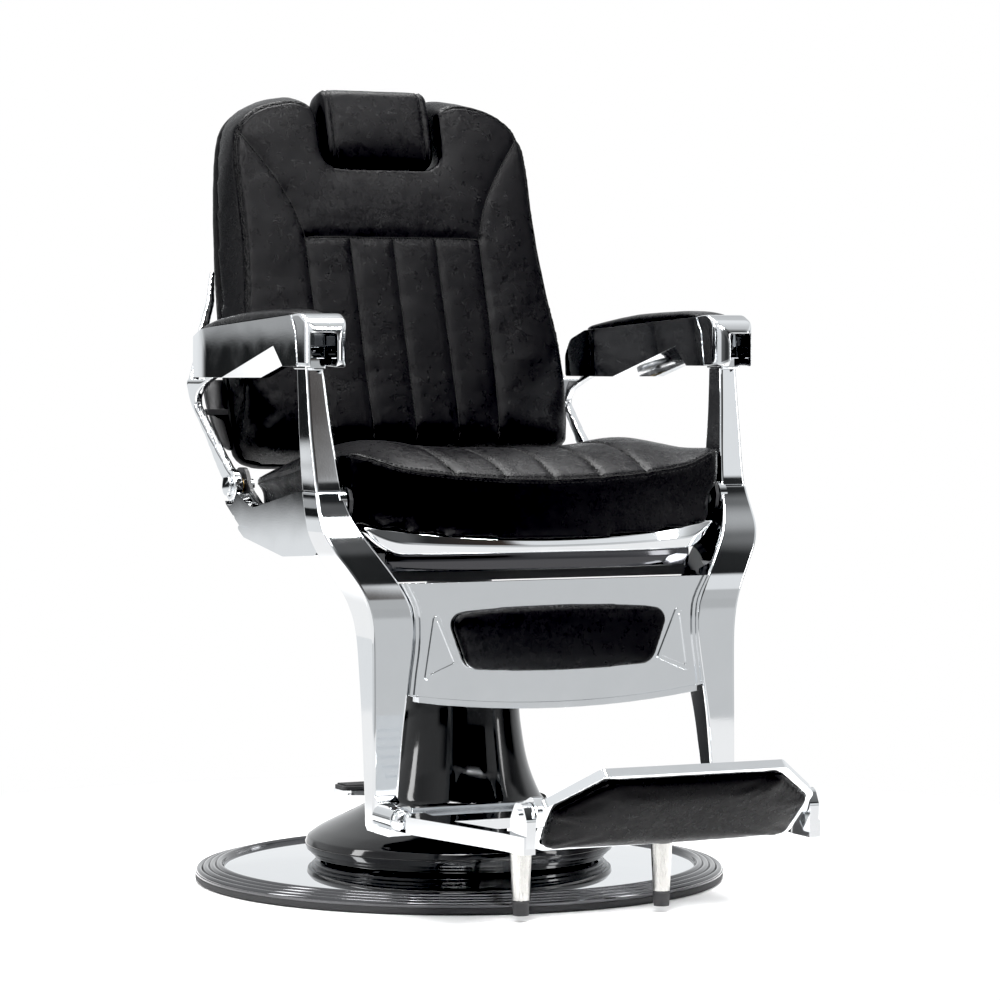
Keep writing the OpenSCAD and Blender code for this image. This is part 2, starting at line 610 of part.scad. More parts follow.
// bead between two offsets in x from the side edge
module panel_bead(outer, inner, front) yprism(concat(shifted(panel_edge, [outer, 0.3]),
  reversed(shifted(panel_edge, [inner, 0.3]))), front, -290);
module calf_panel() color(CHROME) {
  // plate that reaches from post to post
  plate_edge = shifted(panel_edge, [5.5, 0]);
  yprism(concat(panel_low(192), plate_edge, flipped(plate_edge)), -293, -285);
  // thick lower lip that follows the bowed edge
  yprism(concat(panel_low(188, -6), reversed(panel_low(188, 1.5))), -297, -279);
  // raised beads beside the posts and the embossed triangles
  both() {
    panel_bead(-1, -4, -295.5);
    panel_bead(4.8, 2.2, -294.6);
    difference() {
      yprism(rounded([[165, 371], [179.5, 281], [134, 300]], 4, 3), -295, -290);
      yprism(rounded([[164.6, 359], [174.8, 289], [140, 303]], 2, 3), -296, -289);
    }
  }
}
module calf_pad() color(BLACK)
  yprism(rounded([[-124, 294], [0, 289.5], [124, 294], [149, 364], [0, 370], [-149, 364]],
    [20, 0, 20, 16, 0, 16], 5), -309, -293.1);

// ---- footrest ----
joint_x = 235;     // bolt into the post foot
joint_z = 125;
leg_top = 104;
module at_legs() for (side = [-1, 1]) translate([side * leg_x, -383, 0]) children();

socket_side = rounded([[-291.6, 104], [-291.6, 150], [-306, 140], [-340, 140], [-340, 104]],
  [0, 3, 4, 8, 4], 3);
arm_outline = [[214, -292], [244, -330], [240, -352], [196, -552], [192, -596], [177, -596],
  [178, -552], [204, -414], [200, -330], [204, -300]];
ear_side = rounded([[-552, 111], [-596, 111], [-598, 150], [-588, 168], [-568, 168], [-556, 150]],
  [2, 8, 10, 10, 10, 8]);
// casting that carries the footplate
module footrest_bracket() color(CHROME) difference() {
  union() {
    both() {
      // socket in front of the post foot
      xprism(socket_side, 217, 244);
      ycyl(15, -352, -300, joint_x, joint_z);
      // converging arm
      zprism(arm_outline, 111, 131);
      // ear of the footplate pivot
      xprism(ear_side, 177, 189);
    }
    // cross plate with a raised rear edge
    box([-205, 205], [-414, -318], [117, 129]);
    box([-205, 205], [-318.5, -306], [117, 134]);
    at_legs() zcyl(leg_r + 3, leg_top, 118);
  }
  both() {
    xcyl(small_pin_r + gap, 170, 195, foot_hinge);
    ycyl(6 + gap, -360, -300, joint_x, joint_z);
    ycyl(13.3, -368, -352, joint_x, joint_z);
  }
  at_legs() zcyl(8 + gap, 100, 114);
}
// domed bolts with a cross slot; head profile is [radius, height]
bolt_head = [[0, 0], [13, 0], [13, 2], [12, 5.5], [9, 9], [5, 11], [0, 11.6]];
module bracket_bolts() color(CHROME) both() difference() {
  union() {
    ycyl(6, -356, -301, joint_x, joint_z);
    translate([joint_x, -352, joint_z]) rotate([90, 0, 0])
      rotate_extrude($fn = 48) polygon(bolt_head);
  }
  box([joint_x - 1.2, joint_x + 1.2], [-366, -360], [joint_z - 15, joint_z + 15]);
  box([joint_x - 15, joint_x + 15], [-366, -360], [joint_z - 1.2, joint_z + 1.2]);
}
module footrest_legs() color("silver") at_legs() {
  translate([0, 0, 26]) cylinder(h = leg_top - 26, r1 = 10.2, r2 = leg_r);
  zcyl(8, leg_top, 113);
  zcyl(6, 14, 26);
}
module leg_tips() color(RUBBER) at_legs() difference() {
  translate([0, 0, 8]) cylinder(h = 17.9, r1 = 9.4, r2 = 10.4);
  zcyl(6 + gap, 13.9, 30);
}

// Frame of the footplate: x across, y forward and up along the plate,
// z forward and down out of the padded face
module foot_place() translate([0, -558, 118]) rotate([135, 0, 0]) children();
function foot_outline(half) = rounded(concat(half, flipped(half)), [10, 8, 10, 8, 8, 10, 8, 10]);
plate_half = [[150, -6], [168, 2], [173, 72], [116, 124]];
recess_half = [[146, 2], [160, 8], [165, 70], [112, 116]];
pad_half = [[144, 3], [159, 9], [164, 70], [111, 115]];
foot_lug = rounded([[-592, 140], [-564, 140], [-560, 166], [-584, 176], [-600, 162]], 8, 3);
module footplate_frame() color(CHROME) difference() {
  union() {
    foot_place() {
      zprism(foot_outline(plate_half), -6, 6);
      // ribs on the face away from the pad
      for (i = [0:5]) box([-110, 110], [16 + i * 16, 22 + i * 16], [-9, -5.9]);
    }
    both() {
      xprism(foot_lug, 164, 176);
      xcyl(small_pin_r, 175, 192, foot_hinge);
    }
  }
  foot_place() zprism(foot_outline(recess_half), 1, 11);
}
module footplate_pad() color(BLACK) foot_place() zprism(foot_outline(pad_half), 1.1, 18.1);

floor_ring();
base_plate();
base_rim();
base_disc();
skirt_dome();
column_cover();
hydraulic_cylinder();
reservoir_tube();
gland_cap();
gland_seal();
flange_bolts();
pump_body();
pedal_pin();
pump_plunger();
pump_pedal();
pedal_rubber();
ram_rod();
piston();
piston_seal();
swivel_bearing();
seat_frame();
seat_cover_left();
seat_cover_right();
seat_board();
seat_cushion();
front_trim();
front_apron();
leg_pivot_pins();
back_bushes();
recline_lever();
lever_grip();
back_bracket_left();
back_bracket_right();
back_frame();
back_board();
back_cushion();
back_shell();
back_pivot_pins();
lock_disc();
arm_rear_pins();
headrest_cushion();
headrest_rods();
arm_left_frame();
arm_left_cap();
arm_left_pad();
arm_right_frame();
arm_right_cap();
arm_right_pad();
post_left();
post_right();
leg_bushes();
arm_front_pins();
calf_panel();
calf_pad();
footrest_bracket();
bracket_bolts();
footrest_legs();
leg_tips();
footplate_frame();
footplate_pad();
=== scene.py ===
# Upholstered reclining chair with footrest and headrest, on a round pump base.
# The floor is z = 0, the base axis is the Z axis, the chair faces -Y and +X is its left side.
# Shapes are modelled in millimetres; mesh_object scales them to the scene's metres.
import bpy
import bmesh
import json
import math
import numpy as np
from mathutils import Vector, Matrix, noise
from mathutils.bvhtree import BVHTree
from mathutils.kdtree import KDTree


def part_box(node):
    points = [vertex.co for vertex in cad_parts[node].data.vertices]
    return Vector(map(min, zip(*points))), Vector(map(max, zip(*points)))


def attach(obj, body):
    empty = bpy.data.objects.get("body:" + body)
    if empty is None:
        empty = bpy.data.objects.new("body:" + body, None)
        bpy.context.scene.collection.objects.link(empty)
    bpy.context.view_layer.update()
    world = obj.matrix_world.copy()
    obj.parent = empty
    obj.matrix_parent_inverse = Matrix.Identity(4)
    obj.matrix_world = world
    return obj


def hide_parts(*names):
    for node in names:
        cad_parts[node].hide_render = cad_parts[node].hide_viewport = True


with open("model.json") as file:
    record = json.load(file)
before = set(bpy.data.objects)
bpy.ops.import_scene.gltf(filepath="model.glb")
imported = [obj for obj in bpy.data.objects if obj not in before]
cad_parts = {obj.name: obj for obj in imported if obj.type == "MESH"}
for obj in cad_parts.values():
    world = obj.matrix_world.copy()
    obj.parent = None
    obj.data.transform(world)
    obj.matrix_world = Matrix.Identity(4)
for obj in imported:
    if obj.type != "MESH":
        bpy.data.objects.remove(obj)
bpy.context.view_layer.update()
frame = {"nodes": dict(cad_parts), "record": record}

MM = 0.001
SCENE = bpy.context.scene
NODES = frame["nodes"]
SLOT = {part["node"]: part["material_slot"] for part in frame["record"]["subparts"]}
SIDES = ((1, "left"), (-1, "right"))


# ------------------------------------------------------------------ mesh helpers
def link_object(name, data):
    ob = bpy.data.objects.new(name, data)
    SCENE.collection.objects.link(ob)
    return ob


def smooth_all(ob, sharp=None):
    """smooth faces; edges steeper than sharp degrees stay hard"""
    ob.data.polygons.foreach_set("use_smooth", [True] * len(ob.data.polygons))
    if sharp:
        ob.data.set_sharp_from_angle(angle=math.radians(sharp))


def mesh_object(name, verts, faces, mat=None, smooth=True):
    """object from millimetre vertices"""
    me = bpy.data.meshes.new(name)
    me.from_pydata([(v[0] * MM, v[1] * MM, v[2] * MM) for v in verts], [], faces)
    me.validate()
    me.update()
    ob = link_object(name, me)
    if smooth:
        smooth_all(ob)
    if mat:
        me.materials.append(mat)
    return ob


def fix_normals(ob, merge=None):
    """outward normals, after merging points closer than merge metres"""
    bm = bmesh.new()
    bm.from_mesh(ob.data)
    if merge:
        bmesh.ops.remove_doubles(bm, verts=bm.verts, dist=merge)
    bmesh.ops.recalc_face_normals(bm, faces=bm.faces)
    bm.to_mesh(ob.data)
    bm.free()


def apply_mods(ob):
    graph = bpy.context.evaluated_depsgraph_get()
    graph.update()
    me = bpy.data.meshes.new_from_object(ob.evaluated_get(graph), depsgraph=graph)
    old = ob.data
    ob.modifiers.clear()
    ob.data = me
    bpy.data.meshes.remove(old)


def read_verts(me, field="co"):
    """a vector field of the vertices, one row each; places are in metres"""
    a = np.empty(len(me.vertices) * 3)
    me.vertices.foreach_get(field, a)
    return a.reshape(-1, 3)


def write_verts(ob, points):
    ob.data.vertices.foreach_set("co", points.ravel())
    ob.data.update()


def weighted_normals(ob):
    mod = ob.modifiers.new("wn", "WEIGHTED_NORMAL")
    mod.keep_sharp = True
    mod.weight = 60


def register(ob, body, node=None):
    if node:
        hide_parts(node)
    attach(ob, body)


# ------------------------------------------------------------------ curves and solids
def catmull(points, steps=8):
    """smooth open curve through points of any dimension"""
    p = np.array(points, float)
    last = len(p) - 1
    out = []
    for i in range(last):
        a, b, c, d = p[max(i - 1, 0)], p[i], p[i + 1], p[min(i + 2, last)]
        for j in range(steps):
            t = j / steps
            out.append(0.5 * (2 * b + (c - a) * t + (2 * a - 5 * b + 4 * c - d) * t * t
                              + (3 * b - a - 3 * c + d) * t ** 3))
    out.append(p[-1])
    return np.array(out)


def curve_points(points, steps):
    return [tuple(p) for p in catmull(points, steps)]


def resample(points, step):
    """points spaced evenly along a polyline, about step apart"""
    p = np.array(points, float)
    run = np.r_[0, np.cumsum(np.linalg.norm(np.diff(p, axis=0), axis=1))]
    count = max(2, int(round(run[-1] / step)) + 1)
    at = np.linspace(0, run[-1], count)
    return np.stack([np.interp(at, run, p[:, k]) for k in range(p.shape[1])], 1)


def fillet(points, radii, steps=5):
    """closed 2-D polygon with one radius for all corners, or a list of one per corner"""
    out = []
    m = len(points)
    for i in range(m):
        radius = radii[i] if isinstance(radii, (list, tuple)) else radii
        a, b, c = (np.array(points[(i + k) % m], float) for k in (-1, 0, 1))
        if radius <= 0:
            out.append(tuple(b))
            continue
        u = (a - b) / np.linalg.norm(a - b)
        v = (c - b) / np.linalg.norm(c - b)
        angle = math.acos(max(-1, min(1, float(u @ v))))
        if abs(math.pi - angle) < 1e-3:
            out.append(tuple(b))
            continue
        reach = min(radius / math.tan(angle / 2),
                    0.49 * min(np.linalg.norm(a - b), np.linalg.norm(c - b)))
        r = reach * math.tan(angle / 2)
        w = (u + v) / np.linalg.norm(u + v)
        centre = b + w * r / math.sin(angle / 2)
        p, q = b + u * reach, b + v * reach
        start = math.atan2(p[1] - centre[1], p[0] - centre[0])
        end = math.atan2(q[1] - centre[1], q[0] - centre[0])
        turn = (end - start + 3 * math.pi) % (2 * math.pi) - math.pi
        for k in range(steps + 1):
            a_k = start + turn * k / steps
            out.append((centre[0] + r * math.cos(a_k), centre[1] + r * math.sin(a_k)))
    return out


def ease(t):
    """smooth step of t, clamped to 0..1"""
    t = np.clip(t, 0, 1)
    return t * t * (3 - 2 * t)


def lathe(name, profile, mat, segments=192, sharp=38):
    """ring turned about Z from a closed (r, z) profile"""
    m = len(profile)
    verts, faces = [], []
    for i in range(segments):
        a = 2 * math.pi * i / segments
        for r, z in profile:
            verts.append((r * math.cos(a), r * math.sin(a), z))
    for i in range(segments):
        j = (i + 1) % segments
        for k in range(m):
            l = (k + 1) % m
            faces.append((i * m + k, j * m + k, j * m + l, i * m + l))
    ob = mesh_object(name, verts, faces, mat, smooth=False)
    fix_normals(ob, merge=1e-7)
    smooth_all(ob, sharp)
    return ob


def loft(name, rings, mat, sharp=None, swap_caps=False):
    """closed skin through rings of equal length; swap_caps turns the winding of both caps"""
    m = len(rings[0])
    verts = [tuple(p) for ring in rings for p in ring]
    faces = []
    for i in range(len(rings) - 1):
        for k in range(m):
            l = (k + 1) % m
            faces.append((i * m + k, i * m + l, (i + 1) * m + l, (i + 1) * m + k))
    turn = -1 if swap_caps else 1
    faces.append(tuple(range(m))[::-turn])
    faces.append(tuple((len(rings) - 1) * m + k for k in range(m))[::turn])
    ob = mesh_object(name, verts, faces, mat)
    fix_normals(ob)
    if sharp:
        ob.data.set_sharp_from_angle(angle=math.radians(sharp))
    return ob


def join(name, parts):
    """one object from several of the same material; their modifiers are dropped"""
    mat = parts[0].data.materials[0]
    bm = bmesh.new()
    for part in parts:
        bm.from_mesh(part.data)
    me = bpy.data.meshes.new(name)
    bm.to_mesh(me)
    bm.free()
    me.materials.append(mat)
    for part in parts:
        old = part.data
        bpy.data.objects.remove(part)
        bpy.data.meshes.remove(old)
    return link_object(name, me)


def mirror_copy(ob, name):
    """copy mirrored in the plane x = 0"""
    me = ob.data.copy()
    me.transform(Matrix.Scale(-1, 4, (1, 0, 0)))
    me.flip_normals()
    return link_object(name, me)


# ------------------------------------------------------------------ shader nodes
def scaled(color, factor):
    return tuple(min(1, c * factor) for c in color)


def opaque(color):
    """RGB tuple to RGBA; a socket passes through"""
    return (*color, 1) if isinstance(color, tuple) else color


class Nodes:
    """short ways to add nodes to a tree; inputs take a value or an output socket"""

    def __init__(self, tree):
        self.tree = tree

    def fill(self, node, inputs):
        for key, value in inputs.items():
            if isinstance(value, bpy.types.NodeSocket):
                self.tree.links.new(value, node.inputs[key])
            else:
                node.inputs[key].default_value = value

    def add(self, kind, inputs=None, **settings):
        node = self.tree.nodes.new("ShaderNode" + kind)
        for key, value in settings.items():
            setattr(node, key, value)
        self.fill(node, inputs or {})
        return node

    def coords(self, scale=(1, 1, 1)):
        place = self.add("TexCoord").outputs["Object"]
        return self.add("Mapping", {"Scale": scale, "Vector": place}).outputs["Vector"]

    def noise(self, vector, scale, detail=3, roughness=0.55, distortion=0.0):
        return self.add("TexNoise", {"Scale": scale, "Detail": detail, "Roughness": roughness,
                                     "Distortion": distortion, "Vector": vector}).outputs["Fac"]

    def remap(self, value, to=(0.0, 1.0), within=(0.0, 1.0), **settings):
        return self.add("MapRange", {
            "From Min": within[0], "From Max": within[1],
            "To Min": to[0], "To Max": to[1], "Value": value}, **settings).outputs["Result"]

    def mix(self, factor, a, b):
        return self.add("Mix", {"Factor": factor, "A": opaque(a), "B": opaque(b)},
                        data_type="RGBA").outputs["Result"] if False else self._mix(factor, a, b)

    def _mix(self, factor, a, b):
        node = self.add("Mix", data_type="RGBA")
        self.fill(node, {"A": opaque(a), "B": opaque(b), "Factor": factor})
        return node.outputs["Result"]

    def bump(self, height, strength, distance, below=None):
        inputs = {"Strength": strength, "Distance": distance, "Height": height}
        if below is not None:
            inputs["Normal"] = below
        return self.add("Bump", inputs).outputs["Normal"]

    def math(self, operation, *values):
        return self.add("Math", dict(enumerate(values)), operation=operation).outputs[0]

    def mix_shader(self, factor, a, b):
        return self.add("MixShader", {"Fac": factor, 1: a, 2: b}).outputs[0]

    def surface(self, inputs):
        self.fill(self.tree.nodes["Principled BSDF"], inputs)


def material(name):
    mat = bpy.data.materials.new(name)
    mat.use_nodes = True
    return mat, Nodes(mat.node_tree)


# ------------------------------------------------------------------ materials
def chrome(name, tint=(0.80, 0.815, 0.83), roughness=0.035, wave=1.0):
    """smudged mirror metal; wave scales the slow waviness"""
    mat, s = material(name)
    v = s.coords()
    smudge = s.noise(v, scale=22, detail=4, roughness=0.6)
    fine = s.noise(v, scale=420, detail=2)
    slow = s.noise(v, scale=9, detail=2, roughness=0.4)
    wavy = s.bump(slow, strength=0.005 * wave, distance=0.02)
    s.surface({
        "Roughness": s.remap(smudge, to=(roughness * 0.7, roughness * 2.2), within=(0.35, 0.75)),
        "Base Color": s.mix(smudge, tint, scaled(tint, 1.06)),
        "Metallic": 1.0,
        "Normal": s.bump(fine, strength=0.012, distance=0.0003, below=wavy)})
    return mat


def leather(name, base, roughness, grain=1.0):
    """pebbled hide; grain scales the cell density"""
    mat, s = material(name)
    v = s.coords()
    # the cell pattern is bent by noise so that the pebbles are irregular
    jitter = s.add("TexNoise", {"Scale": 160, "Vector": v}).outputs["Color"]
    bent = s.add("VectorMath", {0: jitter, 1: (0.004, 0.004, 0.004), 2: v},
                 operation="MULTIPLY_ADD").outputs[0]
    edge = s.add("TexVoronoi", {"Scale": 780 * grain, "Vector": bent},
                 feature="DISTANCE_TO_EDGE").outputs["Distance"]
    cells = s.remap(edge, within=(0.0, 0.22))
    mid = s.noise(v, scale=90, detail=5, roughness=0.62)
    creases = s.noise(v, scale=34, detail=3, roughness=0.5, distortion=0.6)
    broad = s.noise(v, scale=7, detail=3, roughness=0.5)
    normal = s.bump(broad, strength=0.15, distance=0.006)
    normal = s.bump(creases, strength=0.06, distance=0.0022, below=normal)
    normal = s.bump(cells, strength=0.26, distance=0.00035, below=normal)
    normal = s.bump(mid, strength=0.10, distance=0.0006, below=normal)
    s.surface({
        "Base Color": s.mix(mid, base, scaled(base, 1.9)),
        "Roughness": s.math(
            "ADD",
            s.remap(mid, to=(roughness - 0.06, roughness + 0.10), within=(0.3, 0.7)),
            s.remap(broad, to=(-0.04, 0.05), within=(0.3, 0.7))),
        "Specular IOR Level": 0.10,
        "Sheen Roughness": 0.35,
        "Normal": normal})
    return mat


def gloss(name, base=(0.0015, 0.0015, 0.0018)):
    """coated paint with faint orange peel and dust"""
    mat, s = material(name)
    v = s.coords()
    peel = s.noise(v, scale=240, detail=2)
    dust = s.noise(v, scale=36, detail=5, roughness=0.7)
    s.surface({
        "Base Color": s.mix(dust, base, scaled(base, 2.2)),
        "Roughness": s.remap(dust, to=(0.05, 0.14), within=(0.35, 0.8)),
        "Specular IOR Level": 0.42,
        "Coat Weight": 0.25,
        "Coat Roughness": 0.03,
        "Normal": s.bump(peel, strength=0.03, distance=0.0005)})
    return mat


def matte(name, base, roughness, grain, relief, patch_scale, patch_tint, polish):
    """dull grained skin; patches are up to patch_tint brighter and start polish smoother"""
    mat, s = material(name)
    v = s.coords()
    fine = s.noise(v, **grain)
    patches = s.noise(v, scale=patch_scale, detail=4)
    s.surface({
        "Base Color": s.mix(patches, base, scaled(base, patch_tint)),
        "Roughness": s.remap(patches, to=(roughness - polish, roughness + 0.15)),
        "Normal": s.bump(fine, strength=relief, distance=0.0004)})
    return mat


def brushed(name, tint, roughness, stretch):
    """brushed metal; stretch is the noise frequency along x, y and z"""
    mat, s = material(name)
    lines = s.noise(s.coords(stretch), scale=1.0, detail=4, roughness=0.6)
    patches = s.noise(s.coords(), scale=30, detail=4)
    s.surface({
        "Base Color": s.mix(lines, scaled(tint, 0.72), scaled(tint, 1.15)),
        "Roughness": s.math("ADD", s.remap(lines, to=(roughness - 0.06, roughness + 0.12)),
                            s.remap(patches, to=(-0.03, 0.05))),
        "Metallic": 1.0,
        "Normal": s.bump(lines, strength=0.12, distance=0.0004)})
    return mat


def wood(name):
    mat, s = material(name)
    layers = s.noise(s.coords((6, 60, 400)), scale=1.0, detail=5, roughness=0.6, distortion=0.6)
    grain = s.noise(s.coords((30, 400, 30)), scale=1.0, detail=3)
    s.surface({
        "Base Color": s.mix(layers, (0.42, 0.28, 0.15), (0.66, 0.50, 0.31)),
        "Roughness": s.remap(grain, to=(0.5, 0.75)),
        "Normal": s.bump(grain, strength=0.2, distance=0.0005)})
    return mat


def thread(name):
    mat, s = material(name)
    twist = s.add("TexWave", {"Scale": 900, "Distortion": 1.5,
                              "Vector": s.coords()}).outputs["Fac"]
    s.surface({
        "Base Color": s.mix(twist, (0.004, 0.004, 0.004), (0.013, 0.013, 0.014)),
        "Roughness": 0.55,
        "Specular IOR Level": 0.2,
        "Normal": s.bump(twist, strength=0.4, distance=0.0002)})
    return mat


RUBBER = dict(grain=dict(scale=600, detail=4, roughness=0.7), relief=0.25,
              patch_scale=25, patch_tint=2.0, polish=0.1)
PAINT = dict(grain=dict(scale=350, detail=3), relief=0.12,
             patch_scale=18, patch_tint=1.8, polish=0.05)
MAT = {
    "chrome": chrome("chrome"),
    "black_leather": leather("black_leather", base=(0.0022, 0.0021, 0.0025), roughness=0.27),
    "black_vinyl": leather("black_vinyl", base=(0.0035, 0.0035, 0.0038), roughness=0.42,
                           grain=0.8),
    "black_gloss": gloss("black_gloss"),
    "rubber_black": matte("rubber_black", base=(0.016, 0.016, 0.017), roughness=0.62, **RUBBER),
    "black_paint": matte("black_paint", base=(0.012, 0.012, 0.013), roughness=0.35, **PAINT),
    "plate_steel": brushed("plate_steel", tint=(0.40, 0.41, 0.42), roughness=0.33,
                           stretch=(500, 500, 500)),
    "brushed_leg": brushed("brushed_leg", tint=(0.60, 0.59, 0.57), roughness=0.24,
                           stretch=(900, 900, 14)),
    "bronze": brushed("bronze", tint=(0.50, 0.34, 0.15), roughness=0.32,
                      stretch=(400, 400, 400)),
    "plywood": wood("plywood"),
    "thread": thread("thread"),
    # near-black matte lines laid in the seam grooves: painted shade of the grooves
    "seam": matte("seam_groove_shade", base=(0.0006, 0.0006, 0.0007), roughness=0.8, **RUBBER),
    # chrome tinted near black: painted dark reflection, used on the apron plate and the cap's inner
    # field
    "chrome_painted_dark_reflection": chrome("chrome_painted_dark_reflection", tint=(0.085, 0.085, 0.09), roughness=0.07),
    # chrome tinted nearly black for the base rim: painted dark reflection
    "chrome_rim_painted_dark_reflection": chrome("chrome_rim_painted_dark_reflection", tint=(0.13, 0.13, 0.135), roughness=0.05, wave=0.3),
    "chrome_disc": chrome("chrome_disc", roughness=0.02, wave=0.3),
}

# ------------------------------------------------------------------ CAD nodes
# edge rounding of each CAD node; the others stay sharp
BEVELS = {
    "seat_cover_left": 2.2, "seat_cover_right": 2.2, "back_bracket_left": 1.8,
    "back_bracket_right": 1.8, "arm_left_frame": 1.8, "arm_right_frame": 1.8,
    "footrest_bracket": 1.6, "footplate_frame": 1.2, "calf_panel": 0.8, "pump_pedal": 1.2,
    "recline_lever": 1.2, "lever_grip": 2.0, "front_apron": 0.8, "seat_frame": 0.8,
    "back_frame": 0.8, "back_shell": 4.0, "pump_body": 1.5, "pedal_rubber": 0.6,
    "bracket_bolts": 0.35, "seat_board": 1.0, "back_board": 1.0, "flange_bolts": 0.5,
}


def dress(node, ob):
    """material, welded mesh and rounded edges for a CAD node"""
    ob.data.materials.clear()
    ob.data.materials.append(MAT[SLOT[node]])
    smooth_all(ob, sharp=30)
    weld = ob.modifiers.new("weld", "WELD")
    weld.merge_threshold = 2e-5
    if node in BEVELS:
        planar = ob.modifiers.new("planar", "DECIMATE")
        planar.decimate_type = "DISSOLVE"
        planar.angle_limit = math.radians(0.6)
        bevel = ob.modifiers.new("bevel", "BEVEL")
        bevel.width = BEVELS[node] * MM
        bevel.segments = 3
        bevel.limit_method = "ANGLE"
        bevel.angle_limit = math.radians(28)
    weighted_normals(ob)


for node_name, node_ob in NODES.items():
    dress(node_name, node_ob)

# ------------------------------------------------------------------ base: turned skins
BASE_R = round(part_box("floor_ring")[1].x / MM, 1)


def floor_ring():
    inner = BASE_R - 17
    profile = fillet([(inner, 0), (BASE_R - 3, 0), (BASE_R, 3), (BASE_R, 9), (inner, 9)],
                     [1, 2, 2, 0.6, 1], 4)
    ob = lathe("floor_ring_rubber", profile, MAT["rubber_black"])
    register(ob, "base", "floor_ring")


def base_rim():
    """four round beads that climb inward"""
    beads, pitch, rise = 4, 8.6, 2
    profile = [(BASE_R - 36, 9.05), (BASE_R - 0.6, 9.05), (BASE_R, 9.8), (BASE_R, 12)]
    for k in range(beads):
        r, z = BASE_R - 5 - k * pitch, 12.5 + k * rise
        # the outermost bead wraps further round
        start, step = (-12, 20.4) if k == 0 else (14, 15.2)
        for i in range(11):
            a = math.radians(start + i * step)
            profile.append((r + 4.1 * math.cos(a), z + 4.2 * math.sin(a)))
    profile += [(BASE_R - 35.5, 17.2), (BASE_R - 36, 16.6)]
    # the rim's chrome is tinted nearly black as a painted dark reflection
    ob = lathe("base_rim_chrome", profile, MAT["chrome_rim_painted_dark_reflection"], segments=256, sharp=50)
    register(ob, "base", "base_rim")


def base_disc():
    """slightly crowned plate that rises to the dome"""
    outer, inner, steps = BASE_R - 42, 93, 24
    profile = [(BASE_R - 36.6, 9.1), (BASE_R - 36.6, 16.4), (BASE_R - 38, 17.0)]
    for i in range(steps):
        f = i / (steps - 1)
        profile.append((outer - f * (outer - inner),
                        17.6 + 13.2 * f ** 0.9 + 0.9 * math.sin(math.pi * f)))
    profile += [(92, 30.8), (92, 28.6), (BASE_R - 60, 17.9), (BASE_R - 41, 15.4),
                (BASE_R - 38.6, 9.1)]
    ob = lathe("base_disc_chrome", profile, MAT["chrome_disc"], segments=256, sharp=40)
    register(ob, "base", "base_disc")


def skirt_dome():
    """stepped foot, rolled lip and convex top, with a slot for the pedal bar at the rear"""
    # (r, z) from the foot up, over the lip, up the top and back down the underside
    profile = [(177, 29.2), (177, 31.8)]
    profile += fillet([(184, 27.8), (188, 30), (188, 34.2), (192.6, 34.2), (192.6, 38.4),
                       (197, 38.6), (199.2, 46.5), (196, 55), (190, 59.4)],
                      [0, 1.5, 0.8, 1.4, 0.8, 1.4, 5, 5, 0], 5)
    profile += curve_points([(190, 59.4), (179, 66.2), (157, 76.9), (137, 86.3),
                             (119, 96.2), (112, 103.8)], 6)[1:]
    profile += curve_points([(112, 100), (117, 92.6), (135, 82.6), (155, 73.2), (177, 62.4),
                             (191, 53.6), (194.5, 46)], 5)
    profile += [(189, 42), (184, 38), (184, 31.6)]
    ob = lathe("skirt_dome_gloss", profile, MAT["black_gloss"], sharp=42)
    cutter = mesh_object(
        "cutter", [(x, y, z) for x in (-16, 16) for y in (120, 230) for z in (34, 96)],
        [(0, 1, 3, 2), (4, 6, 7, 5), (0, 4, 5, 1), (2, 3, 7, 6), (0, 2, 6, 4), (1, 5, 7, 3)],
        smooth=False)
    fix_normals(cutter)
    slot = ob.modifiers.new("slot", "BOOLEAN")
    slot.object = cutter
    slot.solver = "EXACT"
    apply_mods(ob)
    bpy.data.objects.remove(cutter)
    smooth_all(ob, sharp=40)
    register(ob, "base", "skirt_dome")


def column_cover():
    """flared sleeve round the column, closed at the top but for the centre hole"""
    # (r, z): outer wall up, top plate, inner wall down
    profile = curve_points([(112, 100), (105.5, 106), (99.5, 118), (93, 134), (88, 150),
                            (84, 168), (80.5, 190), (78, 210), (77, 230), (77, 260)], 6)
    profile += fillet([(77, 300), (77, 331.5), (70, 334), (29, 334), (29, 330), (72, 330),
                       (74, 326)], [0, 5, 2, 1, 1, 2, 0], 5)
    profile += curve_points([(74, 260), (74, 230), (75, 210), (77.5, 190), (81, 168), (85, 150),
                             (90, 134), (96.5, 118), (102, 106), (109, 98.5)], 4)
    ob = lathe("column_cover_gloss", profile, MAT["black_gloss"], sharp=42)
    register(ob, "base", "column_cover")


floor_ring()
base_rim()
base_disc()
skirt_dome()
column_cover()

# ------------------------------------------------------------------ posts
# faces of the left post from the top down: (x, z) outer and inner, (y, z) front and rear
POST_FOOT = 104.5
POST_OUTER = catmull([
    (294, 656), (294, 620), (294, 580), (293, 540), (292.6, 508), (294, 480), (292.5, 458),
    (284, 436), (271, 415), (257, 390), (249, 366), (244.6, 335), (244, 280), (244.5, 200),
    (245, POST_FOOT)])
POST_INNER = catmull([
    (271, 656), (267, 600), (262, 550), (258, 507), (253.6, 482), (241, 452), (227, 429),
    (211, 403), (198, 378), (192, 352), (192.6, 322), (199, 275), (207, 215),
    (216, POST_FOOT)])
POST_FRONT = catmull([
    (-203, 656), (-213, 590), (-224, 534), (-231, 508), (-243, 483), (-264, 450),
    (-279, 420), (-288, 394), (-291, 366), (-291, 300), (-291.5, 220), (-291, POST_FOOT)])
POST_REAR = catmull([
    (-171, 656), (-176, 590), (-180, 534), (-185, 508), (-198, 478), (-206, 450),
    (-212, 415), (-221, 388), (-234, 355), (-244, 300), (-254, 230), (-262, 160),
    (-267, POST_FOOT)])


